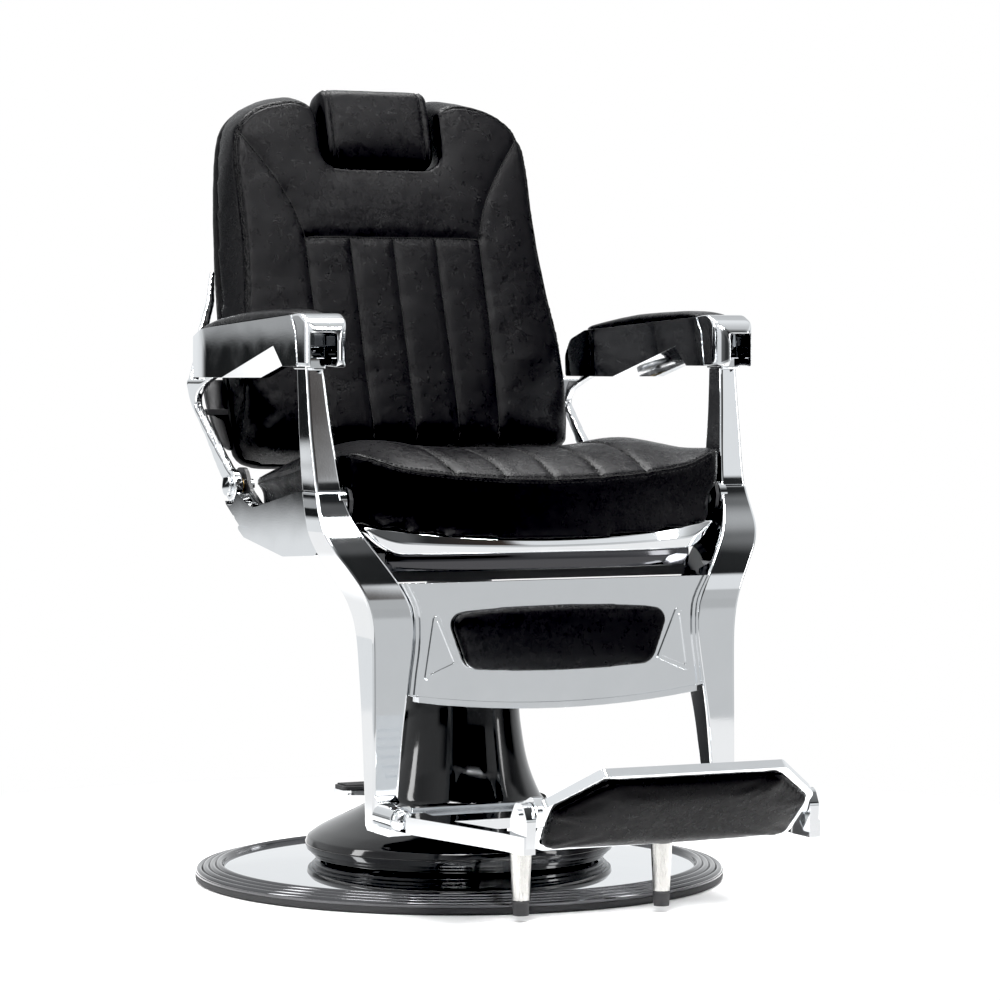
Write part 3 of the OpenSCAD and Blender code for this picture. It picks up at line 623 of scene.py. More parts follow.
def post_ring(z, grow):
    """rounded rectangle at height z, grown on all sides"""
    outer, inner, front, rear = (float(np.interp(z, curve[::-1, 1], curve[::-1, 0])) for curve in
                                 (POST_OUTER, POST_INNER, POST_FRONT, POST_REAR))
    outer, inner, front, rear = outer + grow, inner - grow, front - grow, rear + grow
    steps = 4
    corners = fillet([(inner, front), (outer, front), (outer, rear), (inner, rear)], 3.2, steps)
    ring = []
    for k, a in enumerate(corners):
        b = corners[(k + 1) % len(corners)]
        ring.append(a)
        if k % (steps + 1) == steps:
            # two points hold each flat side next to its corners
            near = 0.7 / math.hypot(b[0] - a[0], b[1] - a[1])
            for f in (near, 1 - near):
                ring.append((a[0] + (b[0] - a[0]) * f, a[1] + (b[1] - a[1]) * f))
    return [(x, y, z) for x, y in ring]


def cross_drum(name, y, z, radius, stations, segments):
    """cylinder along x through (y, z); stations are (x, share of the radius)"""
    rings = [[(x, y + radius * k * math.cos(a), z + radius * k * math.sin(a))
              for a in np.linspace(0, 2 * math.pi, segments, endpoint=False)]
             for x, k in stations]
    return loft(name, rings, MAT["chrome"], 35)


def make_post():
    """left post: bar with a shallow groove, collar and knuckle at the armrest, hinge boss"""
    lower = list(np.linspace(POST_FOOT, 400, 56)) + list(np.linspace(404, 506.6, 44))
    rings = [post_ring(z, 0.6 if z > POST_FOOT + 0.1 else -0.6) for z in lower]
    rings += [post_ring(z, grow) for z, grow in ((507.4, 0.3), (507.6, -0.9), (509.4, -0.9))]
    rings += [post_ring(z, 0.0) for z in np.linspace(509.8, 655.9, 50)]
    bar = loft("post_tmp", rings, MAT["chrome"], 35)
    x0, x1, y0, y1 = 270, 297, -209, -167
    xc, yc = (x0 + x1) / 2, (y0 + y1) / 2
    outline = fillet([(x0, y0), (x1, y0), (x1, y1), (x0, y1)], 3, 4)
    rings = [[(xc + (x - xc) * k, yc + (y - yc) * k, z) for x, y in outline]
             for z, k in ((655.5, 0.93), (656.8, 1.0), (667.4, 1.0), (669.4, 0.95))]
    collar = loft("collar_tmp", rings, MAT["chrome"], 35)
    knuckle = cross_drum("knuckle_tmp", -184, 670, 14,
                         ((272, 0.92), (273, 1.0), (295, 1.0), (296, 0.92)), 40)
    boss = cross_drum("boss_tmp", -216, 495, 20, ((254, 0.94), (254.8, 1.0), (264, 1.0)), 56)
    return join("post", [bar, collar, knuckle, boss])


def posts():
    left = make_post()
    left.name = "post_left_bar"
    right = mirror_copy(left, "post_right_bar")
    for ob, node in ((left, "post_left"), (right, "post_right")):
        weighted_normals(ob)
        register(ob, "leg_frame", node)


posts()


# ------------------------------------------------------------------ trim and apron under the seat
def bow_y(x, front):
    """front line of the seat, swept back towards the sides"""
    return front + 46 * (abs(x) / 250.0) ** 3


def band(name, half_width, front, bottom, top, depth, mat, belly):
    """bowed strip across the front; bottom and top give its edges over x"""
    rings = []
    for x in np.linspace(-half_width, half_width, 120):
        taper = min(1.0, (half_width - abs(x)) / 3.0) ** 0.5 * 0.25 + 0.75
        y = bow_y(x, front)
        mid, h = (bottom(x) + top(x)) / 2, (top(x) - bottom(x)) / 2 * taper
        edge = min(1.8, h * 0.6)
        section = fillet([(y + 0.6, mid - h), (y - belly, mid), (y + 0.6, mid + h),
                          (y + depth, mid + h), (y + depth, mid - h)],
                         [edge, 14, edge, 0.8, 0.8], 5)
        rings.append([(x, p, q) for p, q in section])
    return loft(name, rings, mat, 50)


def trim_bottom(x):
    rise = min(1.0, max(0.0, (abs(x) - 188) / 47.0))
    return 432.8 + 28 * rise ** 2.1


def front_trim():
    ob = band("front_trim_bar", half_width=236, front=-284.2, bottom=trim_bottom,
              top=lambda x: 448.0 + 20 * (x / 245.0) ** 2, depth=13, mat=MAT["chrome"],
              belly=1.2)
    weighted_normals(ob)
    register(ob, "seat", "front_trim")


def front_apron():
    """upright plate with a flat shelf on top, both in chrome tinted near black as a painted dark
    reflection
    """
    plate = band("front_apron_plate", half_width=206, front=-266.5, bottom=lambda x: 411.2,
                 top=lambda x: 437.2, depth=4.2, mat=MAT["chrome_painted_dark_reflection"], belly=0.8)
    half, rear = 205, -206
    shelf = loft("apron_top", [
        [(x, bow_y(x, -264), z) for x in np.linspace(-half, half, 40)]
        + [(half, rear, z), (-half, rear, z)] for z in (437.0, 439.6)], MAT["chrome_painted_dark_reflection"], 40)
    ob = join("front_apron_plate", [plate, shelf])
    register(ob, "seat", "front_apron")


front_trim()
front_apron()


# ------------------------------------------------------------------ cushion tools
def remesh(ob, voxel):
    mod = ob.modifiers.new("r", "REMESH")
    mod.mode = "VOXEL"
    mod.voxel_size = voxel * MM
    apply_mods(ob)
    smooth_all(ob)


def relax(ob, rounds, keep=0.0):
    """Laplacian smoothing; keep is a 0..1 weight of how much a point stays"""
    me = ob.data
    edges = np.empty(len(me.edges) * 2, int)
    me.edges.foreach_get("vertices", edges)
    edges = edges.reshape(-1, 2)
    c = read_verts(me)
    count = np.bincount(edges.ravel(), minlength=len(c))[:, None]
    rate = 0.5 * (1 - (np.zeros(len(c)) + keep))[:, None]
    for _ in range(rounds):
        total = np.zeros_like(c)
        np.add.at(total, edges[:, 0], c[edges[:, 1]])
        np.add.at(total, edges[:, 1], c[edges[:, 0]])
        c += rate * (total / count - c)
    write_verts(ob, c)


def distance(lines, c):
    """millimetres from each point to the nearest of the lines"""
    points = np.concatenate([resample(l, 1.5) for l in lines]) * MM
    tree = KDTree(len(points))
    for i, p in enumerate(points):
        tree.insert(p, i)
    tree.balance()
    return np.array([tree.find(p)[2] for p in c]) / MM


def hold_near(lines, c, peak=1.3, reach=4.0):
    """pin weight that fades with the distance from the lines"""
    return np.clip(peak - distance(lines, c) / reach, 0, 1)


def swell(ob, pin, pressure, cap):
    """cloth under inner pressure; pin is a 0..1 weight, cap the largest move in mm"""
    rest = read_verts(ob.data)
    frames, stiffness = 20, 18
    group = ob.vertex_groups.new(name="pin")
    levels = np.round(pin, 1)
    for level in np.unique(levels):
        if level > 0:
            group.add([int(i) for i in np.where(levels == level)[0]], float(level), "REPLACE")
    cloth = ob.modifiers.new("cloth", "CLOTH")
    s = cloth.settings
    s.quality = 5
    s.mass = 0.3
    s.tension_stiffness = stiffness
    s.compression_stiffness = stiffness
    s.shear_stiffness = 8
    s.bending_stiffness = 1.2
    s.use_pressure = True
    s.uniform_pressure_force = pressure
    s.vertex_group_mass = "pin"
    s.effector_weights.gravity = 0
    cloth.collision_settings.use_collision = False
    cloth.point_cache.frame_start = 1
    cloth.point_cache.frame_end = frames
    for f in range(1, frames + 1):
        SCENE.frame_set(f)
    graph = bpy.context.evaluated_depsgraph_get()
    move = read_verts(ob.evaluated_get(graph).data) - rest
    ob.modifiers.clear()
    ob.vertex_groups.clear()
    size = np.linalg.norm(move, axis=1) / MM
    k = np.where(size > 1e-6, cap * np.tanh(size / cap) / np.maximum(size, 1e-6), 0)
    write_verts(ob, rest + move * k[:, None])
    SCENE.frame_set(1)
    relax(ob, 4, pin)


def subdivide(ob):
    mod = ob.modifiers.new("s", "SUBSURF")
    mod.levels = 1
    apply_mods(ob)
    smooth_all(ob)


def carve(ob, lines, deep, width, soft, soft_width, mask=None):
    """a sewn seam: a narrow groove in a wider hollow"""
    c = read_verts(ob.data)
    d = distance(lines, c)
    n = read_verts(ob.data, "normal")
    a = deep * np.exp(-(d / width) ** 2) + soft * np.exp(-(d / soft_width) ** 2)
    if mask is not None:
        a = a * mask(c)
    write_verts(ob, c - n * (a * MM)[:, None])


def ripple(ob, height, size, seed):
    """slow uneven swell of stuffed leather; size is in metres"""
    c = read_verts(ob.data)
    n = read_verts(ob.data, "normal")
    fine = size * 2.3
    a = np.array([
        noise.noise(Vector((p[0] / size + seed, p[1] / size, p[2] / size)))
        + 0.5 * noise.noise(Vector((p[0] / size * 2.3, p[1] / size * 2.3 + seed,
                                    p[2] / size * 2.3))) for p in c])
    write_verts(ob, c + n * (a * height * MM)[:, None])


def surface_tree(ob):
    bm = bmesh.new()
    bm.from_mesh(ob.data)
    tree = BVHTree.FromBMesh(bm)
    bm.free()
    return tree


def offset_line(tree, line, sideways, step):
    """a line laid on a surface and moved sideways over it"""
    p = resample(line, step) * MM
    out = []
    for i in range(len(p)):
        along = Vector(p[min(i + 1, len(p) - 1)] - p[max(i - 1, 0)]).normalized()
        spot, normal, _, _ = tree.find_nearest(Vector(p[i]))
        side = normal.cross(along).normalized()
        out.append(np.array(tree.find_nearest(spot + side * (sideways * MM))[0]))
    return np.array(out) / MM


def stitches(name, ob, lines, body, offsets=(0.0,), pitch=6.2, length=4.3, radius=0.5,
             sink=0.15, mat="thread"):
    """short raised threads along lines on a cushion, one row per sideways offset"""
    tree = surface_tree(ob)
    verts, faces = [], []
    rings, sides = 5, 6
    for line in lines:
        for sideways in offsets:
            row = resample(offset_line(tree, line, sideways, 1.5), pitch)
            for i in range(len(row) - 1):
                a, b = Vector(row[i]) * MM, Vector(row[i + 1]) * MM
                along = b - a
                if along.length < pitch * MM * 0.5:
                    continue
                along.normalize()
                mid = (a + b) / 2
                base = len(verts)
                for k in range(rings):
                    f = k / (rings - 1) - 0.5
                    spot, normal, _, _ = tree.find_nearest(mid + along * (f * length * MM))
                    lift = (radius * 0.9 * (1 - (2 * f) ** 4) - sink) * MM
                    centre = spot + normal * lift
                    r = radius * MM * (1 - 0.45 * (2 * f) ** 4)
                    side = normal.cross(along).normalized()
                    for j in range(sides):
                        t = 2 * math.pi * j / sides
                        verts.append(tuple((centre + side * (math.cos(t) * r)
                                            + normal * (math.sin(t) * r)) / MM))
                for k in range(rings - 1):
                    near, far = base + k * sides, base + (k + 1) * sides
                    for j in range(sides):
                        l = (j + 1) % sides
                        faces.append((near + j, near + l, far + l, far + j))
                faces.append(tuple(base + j for j in range(sides))[::-1])
                faces.append(tuple(base + (rings - 1) * sides + j for j in range(sides)))
    register(mesh_object(name, verts, faces, MAT[mat]), body)


# ------------------------------------------------------------------ cast parts with melted edges
def cast(node, body, voxel, rounds, warp=None):
    source = NODES[node]
    me = source.data.copy()
    me.transform(source.matrix_world)
    ob = link_object(node + "_cast", me)
    if warp is not None:
        write_verts(ob, warp(read_verts(me)))
    remesh(ob, voxel)
    relax(ob, rounds)
    ob.data.materials.clear()
    ob.data.materials.append(MAT[SLOT[node]])
    register(ob, body, node)
    return ob


def wing_warp(c):
    """pull the bracket's rear upper wing inward and stretch its tip (metres)"""
    wing = (c[:, 1] > 0.236) & (c[:, 2] > 0.646)
    z = c[:, 2].copy()
    c[:, 0] -= np.sign(c[:, 0]) * 0.0072 * (ease((z - 0.648) / 0.025) * wing)
    c[:, 2] = np.where(wing, z + np.maximum(0, z - 0.700) * 0.13, z)
    return c


def back_gap_shade_plate(sign, side):
    """dark plate that closes the gap between the backrest and its two straps: painted shade where
    that gap lies in shadow
    """
    foot_z, foot_y, slope = 553, 199, 0.43
    outline = fillet([(222, 553), (238, 546), (251, 556), (257, 580), (261, 606), (262, 626),
                      (256, 640), (222, 640)], [4, 10, 12, 20, 20, 6, 4, 4], 5)
    rings = []
    # (depth in y, chamfer)
    for depth, inset in ((0.0, 1.2), (1.2, 0.0), (6.8, 0.0), (8.0, 1.2)):
        rings.append([(sign * (x - (inset if x > 240 else -inset)),
                       foot_y + (z - foot_z) * slope + depth,
                       z + (inset if z < 590 else -inset)) for x, z in outline])
    ob = loft("back_gap_shade_plate_" + side, rings, MAT["black_paint"], 50)
    register(ob, "back")


def arm_cap(side):
    """chrome cap with a dark inner field, whose chrome is tinted near black as a painted dark
    reflection
    """
    ob = cast(f"arm_{side}_cap", f"arm_{side}", voxel=1.1, rounds=22)
    ob.data.materials.append(MAT["chrome_painted_dark_reflection"])
    # faces of the inner field get the near-black chrome: painted dark reflection
    inner = []
    for face in ob.data.polygons:
        x, y, z = abs(face.center.x) / MM, face.center.y / MM, face.center.z / MM
        inner.append(1 if 267.2 < x < 299.8 and z < 699.8 and y > -237.5 else 0)
    ob.data.polygons.foreach_set("material_index", inner)


for _, side_name in SIDES:
    cast("back_bracket_" + side_name, "back", voxel=1.4, rounds=10, warp=wing_warp)
for side_sign, side_name in SIDES:
    back_gap_shade_plate(side_sign, side_name)
for _, side_name in SIDES:
    arm_cap(side_name)

# ------------------------------------------------------------------ seat cushion
SEAT_HALF = 256.0
SEAT_REAR = 97


def seat_side_z(y):
    """height of the side seam"""
    return 554 + (y + 216) * (511 - 554) / 298.0


def seat_bow(x):
    return -285 + 42 * (abs(x) / 257.0) ** 2.6


def seat_front_z(x):
    """height of the front seam"""
    return 523 + 16 * (abs(x) / 200.0) ** 2 + 9 * ease((abs(x) - 185) / 60)


CORNER_X = 225
# (x, y) of the rounded front corner
SEAT_CORNER = catmull([(CORNER_X, seat_bow(CORNER_X)), (234, -251), (243, -246), (250, -238),
                       (254.5, -229), (256, -216)])


def seat_front_y(x):
    """plan outline of the front seam, with rounded corners"""
    x = abs(x)
    if x <= CORNER_X:
        return seat_bow(x)
    return float(np.interp(x, SEAT_CORNER[:, 0], SEAT_CORNER[:, 1]))


def seat_point(x, t):
    """point on top of the seat; t runs from 0 at the rear to 1 at the front seam"""
    y = SEAT_REAR + (seat_front_y(x) - SEAT_REAR) * t
    flat = 1 - min(1.0, abs(x) / SEAT_HALF) ** 9
    # the crown is highest over the thighs
    crown = (flat * (19 + 15 * math.exp(-((abs(x) - 180) / 58.0) ** 2))
             * math.sin(math.pi * min(1, t / 1.12 + 0.16)) ** 0.7)
    roll = max(0.0, t) ** 7 * 0.35 + max(0.0, (t - 0.5) / 0.5) ** 2.2 * 0.65
    return x, y, (seat_side_z(y) + crown) * (1 - roll) + seat_front_z(x) * roll


def seat_half(t):
    """half width; the rear corners are drawn in"""
    return SEAT_HALF - 26 * max(0, 1 - t / 0.1) ** 2


def seat_wall_point(edge, k, f):
    """point of the side wall below edge point k; f is the share of the way down"""
    m = len(edge)
    a, b = edge[(k - 2) % m], edge[(k + 2) % m]
    tx, ty = b[0] - a[0], b[1] - a[1]
    l = math.hypot(tx, ty)
    x, y, z = edge[k]
    front = ease((-y - 150) / 60)
    rear = min(1, max(0, (y - 60) / 30))
    bottom = (448 + 20 * (abs(x) / 245) ** 2) * front + 450 * (1 - front)
    zz = z - f * (z - bottom)
    # the upper part is full width, below it the sides step in behind the plates
    step = ease((510 - zz) / 8)
    ax = abs(x)
    x_in = ax - 12.8 * step * ease((ax - 226) / 26)
    y_in = y + step * 4.5 * min(1, max(0, (ax - 232) / 14)) * front
    side_belly = (1.2 * math.sin(math.pi * min(1, (z - zz) / max(10, z - 508)))
                  * (1 - step) * (1 - rear))
    front_belly = 5.0 * math.sin(math.pi * min(1, f * 1.02)) ** 0.8 - 5 * max(0, f - 0.9) / 0.1
    corner = min(1, max(0, (ax - 215) / 25))
    out = side_belly * (1 - front) + front_belly * front * (1 - 0.75 * corner)
    return math.copysign(x_in, x) + ty / l * out, y_in - tx / l * out, zz


def seat_mesh():
    nx, ny = 60, 46
    verts, faces = [], []
    for j in range(ny + 1):
        for i in range(nx + 1):
            s = -1 + 2 * i / nx
            # columns crowd towards the sides
            s = math.copysign(1 - (1 - abs(s)) ** 1.15, s)
            verts.append(seat_point(s * seat_half(j / ny), j / ny))

    def index(i, j):
        return j * (nx + 1) + i

    for j in range(ny):
        for i in range(nx):
            faces.append((index(i, j), index(i + 1, j), index(i + 1, j + 1), index(i, j + 1)))
    loop = [(i, 0) for i in range(nx)] + [(nx, j) for j in range(ny)]
    loop += [(i, ny) for i in range(nx, 0, -1)] + [(0, j) for j in range(ny, 0, -1)]
    rings = [[index(i, j) for i, j in loop]]
    edge = np.array([verts[k] for k in rings[0]])
    m = len(edge)
    for f in (0.1, 0.22, 0.34, 0.44, 0.54, 0.64, 0.74, 0.84, 0.92, 0.97, 1.0):
        start = len(verts)
        verts += [seat_wall_point(edge, k, f) for k in range(m)]
        rings.append(list(range(start, start + m)))
    for a, b in zip(rings, rings[1:]):
        for k in range(m):
            l = (k + 1) % m
            faces.append((a[k], b[k], b[l], a[l]))
    centre = len(verts)
    verts.append((0, -90, 449))
    last = rings[-1]
    for k in range(m):
        faces.append((last[k], centre, last[(k + 1) % m]))
    ob = mesh_object("seat_cushion_leather", verts, faces, MAT["black_leather"])
    fix_normals(ob)
    return ob


def seat_cushion():
    seat = seat_mesh()
    remesh(seat, 5.0)
    relax(seat, 3)
    channels = [np.array([seat_point(x, k / 40) for k in range(41)])
                for x in (-130, -65, 0, 65, 130)]
    edges = [np.array([(x, seat_front_y(x), seat_front_z(x)) for x in np.linspace(-253, 253, 140)])]
    stations = [0.04 + 0.93 * k / 39 for k in range(40)]
    for sign in (-1, 1):
        edges.append(np.array([seat_point(sign * seat_half(t), t) for t in stations]))
    c = read_verts(seat.data)
    pin = np.maximum(hold_near(channels, c, peak=1.25), hold_near(edges, c))
    z = c[:, 2] / MM
    pin[z < 462] = 1
    pin[(np.abs(c[:, 0]) > 0.236) & (z < 508)] = 1
    pin[c[:, 1] > 0.090] = 1
    swell(seat, pin, pressure=4.0, cap=7.5)
    subdivide(seat)
    ripple(seat, height=0.5, size=0.035, seed=3.0)
    carve(seat, channels, deep=3.0, width=1.8, soft=1.4, soft_width=6.5)
    carve(seat, edges, deep=1.9, width=2.0, soft=0.8, soft_width=6)
    register(seat, "seat", "seat_cushion")
    # the near-black lines in the grooves are painted shade
    stitches("seat_seam_shade_lines", seat, channels + edges[:1], "seat", pitch=4.0, length=4.7,
             radius=0.8, sink=0.35, mat="seam")
    stitches("seat_stitching", seat, edges, "seat", offsets=(-4.6, 4.6))


seat_cushion()

# ------------------------------------------------------------------ backrest
# backrest frame: x across, u up along the back, n out of its front face
LEAN = math.radians(17.5)
SIN_LEAN, COS_LEAN = math.sin(LEAN), math.cos(LEAN)
BACK_Y, BACK_Z = 125, 553


def on_back(x, u, n):
    return (x, BACK_Y + u * SIN_LEAN - n * COS_LEAN, BACK_Z + u * COS_LEAN + n * SIN_LEAN)


def from_back(c):
    """columns x, u, n in millimetres of points in metres"""
    y, z = c[:, 1] / MM - BACK_Y, c[:, 2] / MM - BACK_Z
    return np.stack([c[:, 0] / MM, y * SIN_LEAN + z * COS_LEAN,
                     -y * COS_LEAN + z * SIN_LEAN], 1)


def both_sides(half):
    """closed outline from its +x half, which starts and ends on the centre line"""
    right = curve_points(half, 4)
    return np.array(right + [(-x, u) for x, u in right[1:-1]][::-1])


# (x, u) outlines of the +x half: foot, side, shoulder, then the headrest notch
NOTCH = [(87, 412), (82, 398), (72, 390.5), (56, 388), (0, 387.5)]
FACE = both_sides([
    (0, -9), (110, -9), (180, -8.5), (206, -6), (222, 0), (231, 9),
    (233.6, 18), (234.4, 29), (233.4, 41), (232.5, 54), (232, 69), (230.6, 100),
    (226.4, 147), (220.8, 188), (219, 203), (216.2, 228), (213.9, 255), (212.6, 283),
    (212.2, 311), (212.5, 339), (213, 368), (213.4, 395),
    (212, 412), (209.5, 427), (204, 441), (195, 454), (181, 465), (166, 473),
    (146, 478.5), (128, 481), (112, 480.5), (100, 477), (92, 470), (89, 455),
    (88.5, 430)] + NOTCH)
REAR = both_sides([
    (0, -10), (110, -10), (190, -9.5), (213, -7), (229, 0), (236, 10),
    (237.5, 18), (238.4, 29), (238.9, 41), (239.2, 54), (239.2, 69), (238.6, 100),
    (237.4, 147), (236.3, 188), (235.8, 203), (234.6, 228), (233, 255), (230.8, 283),
    (228.4, 311), (225.6, 339), (222.2, 368), (218.8, 395),
    (215.4, 417), (211.4, 437), (205.4, 456), (196, 471), (182, 484), (166, 494),
    (146, 502), (130, 506.5), (114, 509), (101, 509), (92, 503), (89, 485),
    (88.5, 445)] + NOTCH)
# (u, n) of the edge seam up the side
SEAM_N = np.array([(-10, -57), (16, -57), (29, -56), (41, -44), (54, -32.5), (69, -23.5),
                   (100, -14), (147, -4.5), (190, -1.8), (400, -1.5), (600, -1.5)])


def out_normals(outline):
    """unit normals that point out of a closed outline"""
    after, before = np.roll(outline, -1, 0), np.roll(outline, 1, 0)
    along = after - before
    along /= np.linalg.norm(along, axis=1)[:, None]
    normals = np.stack([along[:, 1], -along[:, 0]], 1)
    area = 0.5 * np.sum(outline[:, 0] * after[:, 1] - after[:, 0] * outline[:, 1])
    return -normals if area < 0 else normals


def seam_depths(outline):
    n = np.interp(outline[:, 1], SEAM_N[:, 0], SEAM_N[:, 1])
    n[(np.abs(outline[:, 0]) < 95) & (outline[:, 1] > 380)] = -1.5
    return n


FACE_SEAM_N = seam_depths(FACE)


def back_solid(name, rings, mat, rounds=2):
    """remeshed solid from (outline, n) rings in the backrest frame"""
    placed = [[on_back(x, u, n) for (x, u), n in zip(outline, np.broadcast_to(depth, len(outline)))]
              for outline, depth in rings]
    ob = loft(name, placed, mat, swap_caps=True)
    remesh(ob, 5.0)
    relax(ob, rounds)
    return ob


def back_blank():
    """unstuffed back cushion"""
    rear_n = 58.2
    normals = out_normals(FACE)
    depth = -FACE_SEAM_N
    inset = np.maximum(3.0, np.minimum(34.0, depth * 0.85))
    rings = []
    # front panel rolls back to the seam: wide roll at the foot, tight at the shoulders
    for a in (0.0, 0.2, 0.4, 0.58, 0.74, 0.87, 0.96, 1.0):
        angle = a * math.pi / 2
        rings.append((FACE - normals * (inset * (1 - math.sin(angle)))[:, None],
                      -depth * (1 - math.cos(angle))))
    # side panel from the seam to the rear edge
    for f in (0.06, 0.2, 0.4, 0.6, 0.8, 0.93, 1.0):
        outline = FACE * (1 - f) + REAR * f
        belly = np.clip((rear_n + FACE_SEAM_N) / 40.0, 0, 1) * 1.6 * math.sin(math.pi * f)
        rings.append((outline + out_normals(outline) * belly[:, None],
                      FACE_SEAM_N * (1 - f) - rear_n * f))
    return back_solid("back_cushion_leather", rings, MAT["black_leather"])


def back_pan():
    """rear shell in one rounded piece"""
    normals = out_normals(REAR)
    rings = [(REAR - normals * 2.0, -58.6), (REAR, -59.6)]
    for a in np.linspace(0, 1, 9):
        angle = a * math.pi / 2
        rings.append((REAR - normals * (13 * (1 - math.cos(angle))),
                      -70.5 - 13.5 * math.sin(angle)))
    rings.append((REAR - normals * 24, -84.3))
    pan = back_solid("back_shell_skin", rings, MAT["black_vinyl"])
    ripple(pan, height=0.3, size=0.06, seed=51.0)
    register(pan, "back", "back_shell")


def back_line(points):
    """smooth seam through (x, u) points, just below the front face"""
    return np.array([on_back(x, u, -2.0) for x, u in catmull(points)])


def stuff_back(back):
    """stuffing, seams and stitching of the back cushion"""
    yoke_u = 289
    yoke = back_line([(-126, yoke_u), (-63, 290), (0, 289.5), (63, 290), (126, yoke_u)])
    # x of each upright channel at the yoke, halfway and at the foot
    channels = [back_line([(x0, yoke_u), (x0, 200), (x1, 100), (x2, 2)]) for x0, x1, x2 in (
        (0, 0, 0), (62, 62.5, 61), (-62, -62.5, -61), (126, 124, 119), (-126, -124, -119))]
    diagonals = [back_line([(sign * x, u) for x, u in (
        (205, 438), (192, 420), (179, 402), (166, 383), (151, 357), (137, 327),
        (126, yoke_u))]) for sign in (-1, 1)]
    inner_seams = [yoke] + channels + diagonals
    edge = [on_back(x, u, n) for (x, u), n in zip(FACE, FACE_SEAM_N)]
    c = read_verts(back.data)
    x, u, n = from_back(c).T
    pin = hold_near(inner_seams, c) * (n > -26)
    pin = np.maximum(pin, hold_near([np.array(edge + edge[:1])], c, reach=4.5))
    pin = np.maximum(pin, np.clip((-n - 48) / 6, 0, 1))
    pin[(np.abs(x) < 95) & (u > 383) & (n < -6)] = 1
    swell(back, pin, pressure=4.0, cap=9.0)
    subdivide(back)
    ripple(back, height=0.6, size=0.04, seed=11.0)

    def front_part(c):
        return (from_back(c)[:, 2] > -30).astype(float)

    # the edge seam of each side from foot to shoulder, without the notch
    left = np.array([p for p, (x, u) in zip(edge, FACE)
                     if x > 0 and u > 14 and not (x < 100 and u > 380)])
    side_seams = [left, left * np.array([-1, 1, 1])]
    carve(back, [yoke] + channels, deep=3.2, width=1.8, soft=1.6, soft_width=7,
          mask=front_part)
    carve(back, diagonals, deep=2.8, width=1.7, soft=1.0, soft_width=6, mask=front_part)
    tree = surface_tree(back)
    twin = [offset_line(tree, line, sideways, 2.0) for line in side_seams
            for sideways in (-2.3, 2.3)]
    carve(back, twin, deep=1.9, width=1.3, soft=0.3, soft_width=5)
    register(back, "back", "back_cushion")
    # the near-black lines in the grooves are painted shade
    stitches("back_seam_shade_lines", back, inner_seams, "back", pitch=4.0, length=4.7,
             radius=0.85, sink=0.4, mat="seam")
    stitches("back_edge_shade_lines", back, side_seams, "back", offsets=(-2.1, 2.1), pitch=4.0,
             length=4.7, radius=0.6, sink=0.2, mat="seam")
    stitches("back_stitching", back, side_seams, "back", offsets=(-3.4, 3.4), pitch=5.6,
             length=3.9, radius=0.42)


back_ob = back_blank()
back_pan()
stuff_back(back_ob)


# ------------------------------------------------------------------ headrest
def squircle(cx, sx, power):
    """radius of a unit superellipse in the direction (cx, sx)"""
    return (abs(cx) ** power + abs(sx) ** power) ** (-1 / power)


def headrest_ring(half_u, half_n, x):
    points = []
    for k in range(56):
        a = 2 * math.pi * k / 56
        cx, sx = math.cos(a), math.sin(a)
        r = squircle(cx, sx, 4.0)
        points.append(on_back(x, 450 + half_u * r * cx, -29 + half_n * r * sx))
    return points


def headrest():
    half_u, half_n = 55, 29
    # (distance from the middle, share of the section) of the stations towards one end
    ends = [(45, 1.0), (70, 1.0), (75, 0.97), (77.5, 0.90), (79, 0.80)]
    stations = [(-x, k) for x, k in ends[::-1]] + [(0, 1.0)] + ends
    head = loft("headrest_leather", [headrest_ring(half_u * k, half_n * k, x)
                                     for x, k in stations], MAT["black_leather"])
    remesh(head, 4.0)
    relax(head, 2)
    seams = []
    for x in (-66, 66):
        ring = headrest_ring(half_u + 0.5, half_n + 0.5, x)
        seams.append(np.array(ring + ring[:1]))
    swell(head, hold_near(seams, read_verts(head.data)), pressure=3.5, cap=5.0)
    subdivide(head)
    ripple(head, height=0.4, size=0.03, seed=23.0)
    carve(head, seams, deep=1.8, width=1.9, soft=0.8, soft_width=6)
    register(head, "headrest", "headrest_cushion")
    stitches("headrest_stitching", head, seams, "headrest", offsets=(4.0, -4.0), pitch=5.6,
             length=4.0, radius=0.45)


headrest()


# ------------------------------------------------------------------ arm pads
def arm_pad(sign, side):
    """domed pad that slopes down to the rear and narrows there"""
    front, rear = -172, 151
    inner, outer = 253.5, 300
    # (y, z) of the ridge
    ridge = catmull([(front, 723.5), (-150, 727.5), (-118, 729), (-60, 728), (0, 726.5),
                     (60, 722), (110, 716.5), (rear, 710.5)], 6)
    steps = 60
    rings = []
    for k in range(steps + 1):
        y = front + (rear - front) * (k / steps)
        base = 706.6 + (142 - y) * 15.2 / 318
        top = float(np.interp(y, ridge[:, 0], ridge[:, 1]))
        end = max(0.0, min(1, (y - front) / 5, (rear - y) / 12)) ** 0.5
        x1 = outer - max(0, (y - 96)) * 0.10
        x0 = inner + max(0, (y - 130)) * 0.15
        mid = (x0 + x1) / 2
        half = (x1 - x0) / 2 * (0.86 + 0.14 * end)
        height = max(0.8, (top - base)) * (0.35 + 0.65 * end)
        ring = []
        for j in range(28):
            a = math.pi * j / 27
            cx, sx = math.cos(a), math.sin(a)
            r = squircle(cx, sx, 3.2)
            ring.append((sign * (mid + half * r * cx), y, base + 0.4 + height * r * sx))
        ring += [(sign * (mid - half + 2 * half * j / 6), y, base + 0.3) for j in range(1, 6)]
        rings.append(ring)
    ob = loft(f"arm_{side}_pad_leather", rings, MAT["black_leather"])
    subdivide(ob)
    ripple(ob, height=0.25, size=0.03, seed=31.0)
    register(ob, f"arm_{side}", f"arm_{side}_pad")


for side_sign, side_name in SIDES:
    arm_pad(side_sign, side_name)


